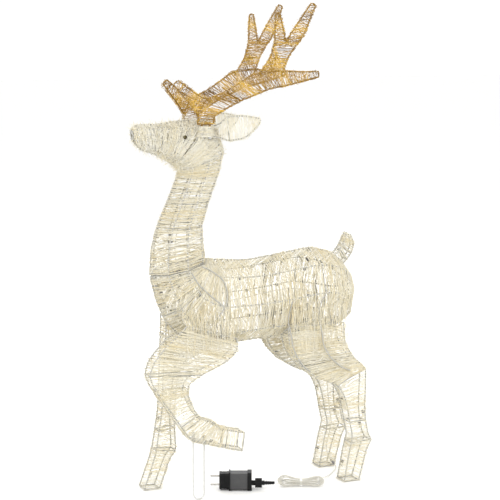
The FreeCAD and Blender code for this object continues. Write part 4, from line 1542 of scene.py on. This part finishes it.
@dataclass
class FreeLead:
    """The thin clear lead on the floor: from the hind hoof to a tied hank, and on to the adapter's plug."""

    to_hank: Sequence[Point] = (
        (217, 36, 7), (218, 29, 3), (213, 20, 1.0), (203, 8, 1.0), (190, -6, 1.0),
        (175, -21, 1.5), (160, -36, 4.5), (149, -49, 8.5), (140, -60, 10.5),
    )
    to_plug: Sequence[Point] = ((54, -53, 9.5), (45.5, -57, 10.5), (36.5, -59.5, 12), (27.7, -58, 14))
    diameter: float = 1.7
    hank_centre: Point = (88.6, -60, 8.4)
    hank_turn: float = -24.0
    turns: int = 8
    points_in_turn: int = 14
    reach: float = 51.5
    half_depth: float = 20.0
    half_height: float = 11.6
    ends_step: float = 1.9
    first_point: int = 2
    fan: tuple[float, float] = (0.04, 0.96)
    third_wave: float = 0.5
    plug_end_swell: float = 0.14
    depth_share: float = 0.87
    height_share: float = 0.85
    uneven: float = 0.03
    plug_end_lift: float = 4.2
    hoof_end_lift: float = 2.7
    lowest: float = 1.0

    def _hank(self) -> list[Point]:
        """The hank's turns: long loops that fan out at both ends and are drawn in by the tie.

        Returns:
            Points of the turns, in millimetres.
        """
        rng = np.random.default_rng(41)
        angle = math.radians(self.hank_turn)
        last = self.turns * self.points_in_turn + self.points_in_turn // 2 - 3
        first_side, last_side = self.fan
        points = []
        for k in range(self.first_point, last):
            theta = 2 * math.pi * k / self.points_in_turn
            along = math.cos(theta)
            fan = math.pi * (first_side + (last_side - first_side) * k / last)
            swell = math.sin(theta) + self.third_wave * math.sin(3 * theta)
            swell *= 1.0 + self.plug_end_swell * max(0.0, -along)
            depth = self.half_depth * self.depth_share * math.cos(fan)
            height = self.half_height * self.height_share * math.sin(fan)
            lift = self.plug_end_lift if along < 0 else self.hoof_end_lift
            s = (self.reach - self.ends_step * (k / self.points_in_turn)) * along
            y = swell * depth * (1.0 + self.uneven * rng.standard_normal())
            x_row = self.hank_centre[0] + s * math.cos(angle) - y * math.sin(angle)
            y_row = self.hank_centre[1] + s * math.sin(angle) + y * math.cos(angle)
            z_row = self.hank_centre[2] + lift * abs(along) + swell * height
            points.append((x_row, y_row, max(z_row, self.lowest)))
        return points

    def _spline(self) -> bpy.types.Curve:
        """The lead's line as one smooth curve.

        Returns:
            The curve, with no thickness.
        """
        curve = bpy.data.curves.new("lead_line", "CURVE")
        curve.dimensions = "3D"
        curve.resolution_u = 6
        spline = curve.splines.new("NURBS")
        route = [*self.to_hank, *self._hank(), *self.to_plug]
        spline.points.add(len(route) - 1)
        for point, place in zip(spline.points, route):
            point.co = (*as_row(place), 1.0)
        spline.order_u = 3
        spline.use_endpoint_u = True
        return curve

    def build(self, dresser: Dresser) -> bpy.types.Object:
        """Lay the lead.

        Args:
            dresser: Makes the finishes.

        Returns:
            The lead.
        """
        curve = self._spline()
        probe = bpy.data.objects.new("lead_line", curve)
        line = bpy.data.meshes.new_from_object(probe)
        curve.bevel_depth = self.diameter / 2 * MM
        curve.bevel_resolution = 4
        curve.use_fill_caps = True
        lead = bpy.data.objects.new("free_lead", bpy.data.meshes.new_from_object(probe))
        bpy.context.scene.collection.objects.link(lead)
        lead.data.shade_smooth()
        bpy.data.objects.remove(probe)
        bpy.data.meshes.remove(line)
        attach(lead, "deer")
        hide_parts("lead_hoof_to_hank", "lead_hank", "lead_hank_to_plug")
        dresser.dress(lead, Finish.LEAD)
        tuple(as_row(self.to_hank[0]))
        dresser.dress_nodes(Finish.TIE, "hank_tie")
        return lead


# ---------------------------------------------------------------- studio


@dataclass(frozen=True)
class Lamp:
    """One soft square lamp: its place and the side of its face are metres, and its power is watts."""

    name: str
    at: Point
    size: float
    power: float
    colour: Colour = (1.0, 1.0, 1.0)


@dataclass
class Studio:
    """A pale floor, soft lamps and the camera."""

    lamps: Sequence[Lamp] = (
        Lamp("key", (-2.2, -2.6, 2.8), 2.2, 75.0, (1.0, 0.985, 0.96)),
        Lamp("fill", (2.6, -1.8, 1.6), 2.6, 28.0, (0.97, 0.985, 1.0)),
        Lamp("rim", (0.8, 2.8, 2.4), 2.0, 45.0),
    )
    aimed_at: Point = (0.0, 0.0, 0.45)
    sky: float = 1.05
    floor_half: float = 30.0
    floor_drop: float = 0.0002
    camera_at: Point = (-1214.0, -2720.0, 937.0)
    azimuth: float = -24.0
    elevation: float = 8.3
    lens: float = 104.1

    def place_camera(self) -> None:
        """Set up the camera."""
        data = bpy.data.cameras.new("camera")
        data.lens = self.lens
        data.sensor_width = 36.0
        camera = bpy.data.objects.new("camera", data)
        bpy.context.scene.collection.objects.link(camera)
        a, e = math.radians(self.azimuth), math.radians(self.elevation)
        ahead = Vector((-math.sin(a) * math.cos(e), math.cos(a) * math.cos(e), -math.sin(e)))
        camera.location = as_row(self.camera_at)
        camera.rotation_euler = ahead.to_track_quat("-Z", "Y").to_euler()
        bpy.context.scene.camera = camera

    def _light(self, lamp: Lamp) -> None:
        """Put up one lamp, aimed at the deer's middle.

        Args:
            lamp: The lamp.
        """
        data = bpy.data.lights.new(lamp.name, "AREA")
        data.size = lamp.size
        data.energy = lamp.power
        data.color = lamp.colour
        light = bpy.data.objects.new(lamp.name, data)
        bpy.context.scene.collection.objects.link(light)
        light.location = lamp.at
        light.visible_camera = False
        light.rotation_euler = (Vector(self.aimed_at) - Vector(lamp.at)).to_track_quat("-Z", "Y").to_euler()

    def build(self, dresser: Dresser) -> None:
        """Lay the floor and set the light.

        Args:
            dresser: Makes the finishes.
        """
        half = self.floor_half
        corners = [(-half, -half, 0), (half, -half, 0), (half, half, 0), (-half, half, 0)]
        mesh = bpy.data.meshes.new("floor")
        mesh.from_pydata(corners, [], [(0, 1, 2, 3)])
        floor = bpy.data.objects.new("floor", mesh)
        bpy.context.scene.collection.objects.link(floor)
        floor.location.z = -self.floor_drop
        dresser.dress(floor, Finish.FLOOR)
        world = bpy.data.worlds.new("studio")
        world.use_nodes = True
        sky = world.node_tree.nodes["Background"].inputs
        sky["Color"].default_value = (1.0, 1.0, 1.0, 1.0)
        sky["Strength"].default_value = self.sky
        bpy.context.scene.world = world
        for lamp in self.lamps:
            self._light(lamp)
        bpy.context.scene.view_settings.view_transform = "Standard"


def main() -> None:
    """Build every section in order."""
    logging.basicConfig(level=logging.INFO, format="%(name)s: %(message)s")
    dresser = Dresser()
    studio = Studio()
    studio.place_camera()
    FreeLead().build(dresser)
    Deer().build(dresser)
    HeadAndNeck().build(dresser)
    Antlers().build(dresser)
    LightString().build(dresser)
    Adapter().build(dresser)
    studio.build(dresser)
    bpy.context.view_layer.update()


if __name__ == "__main__":
    main()
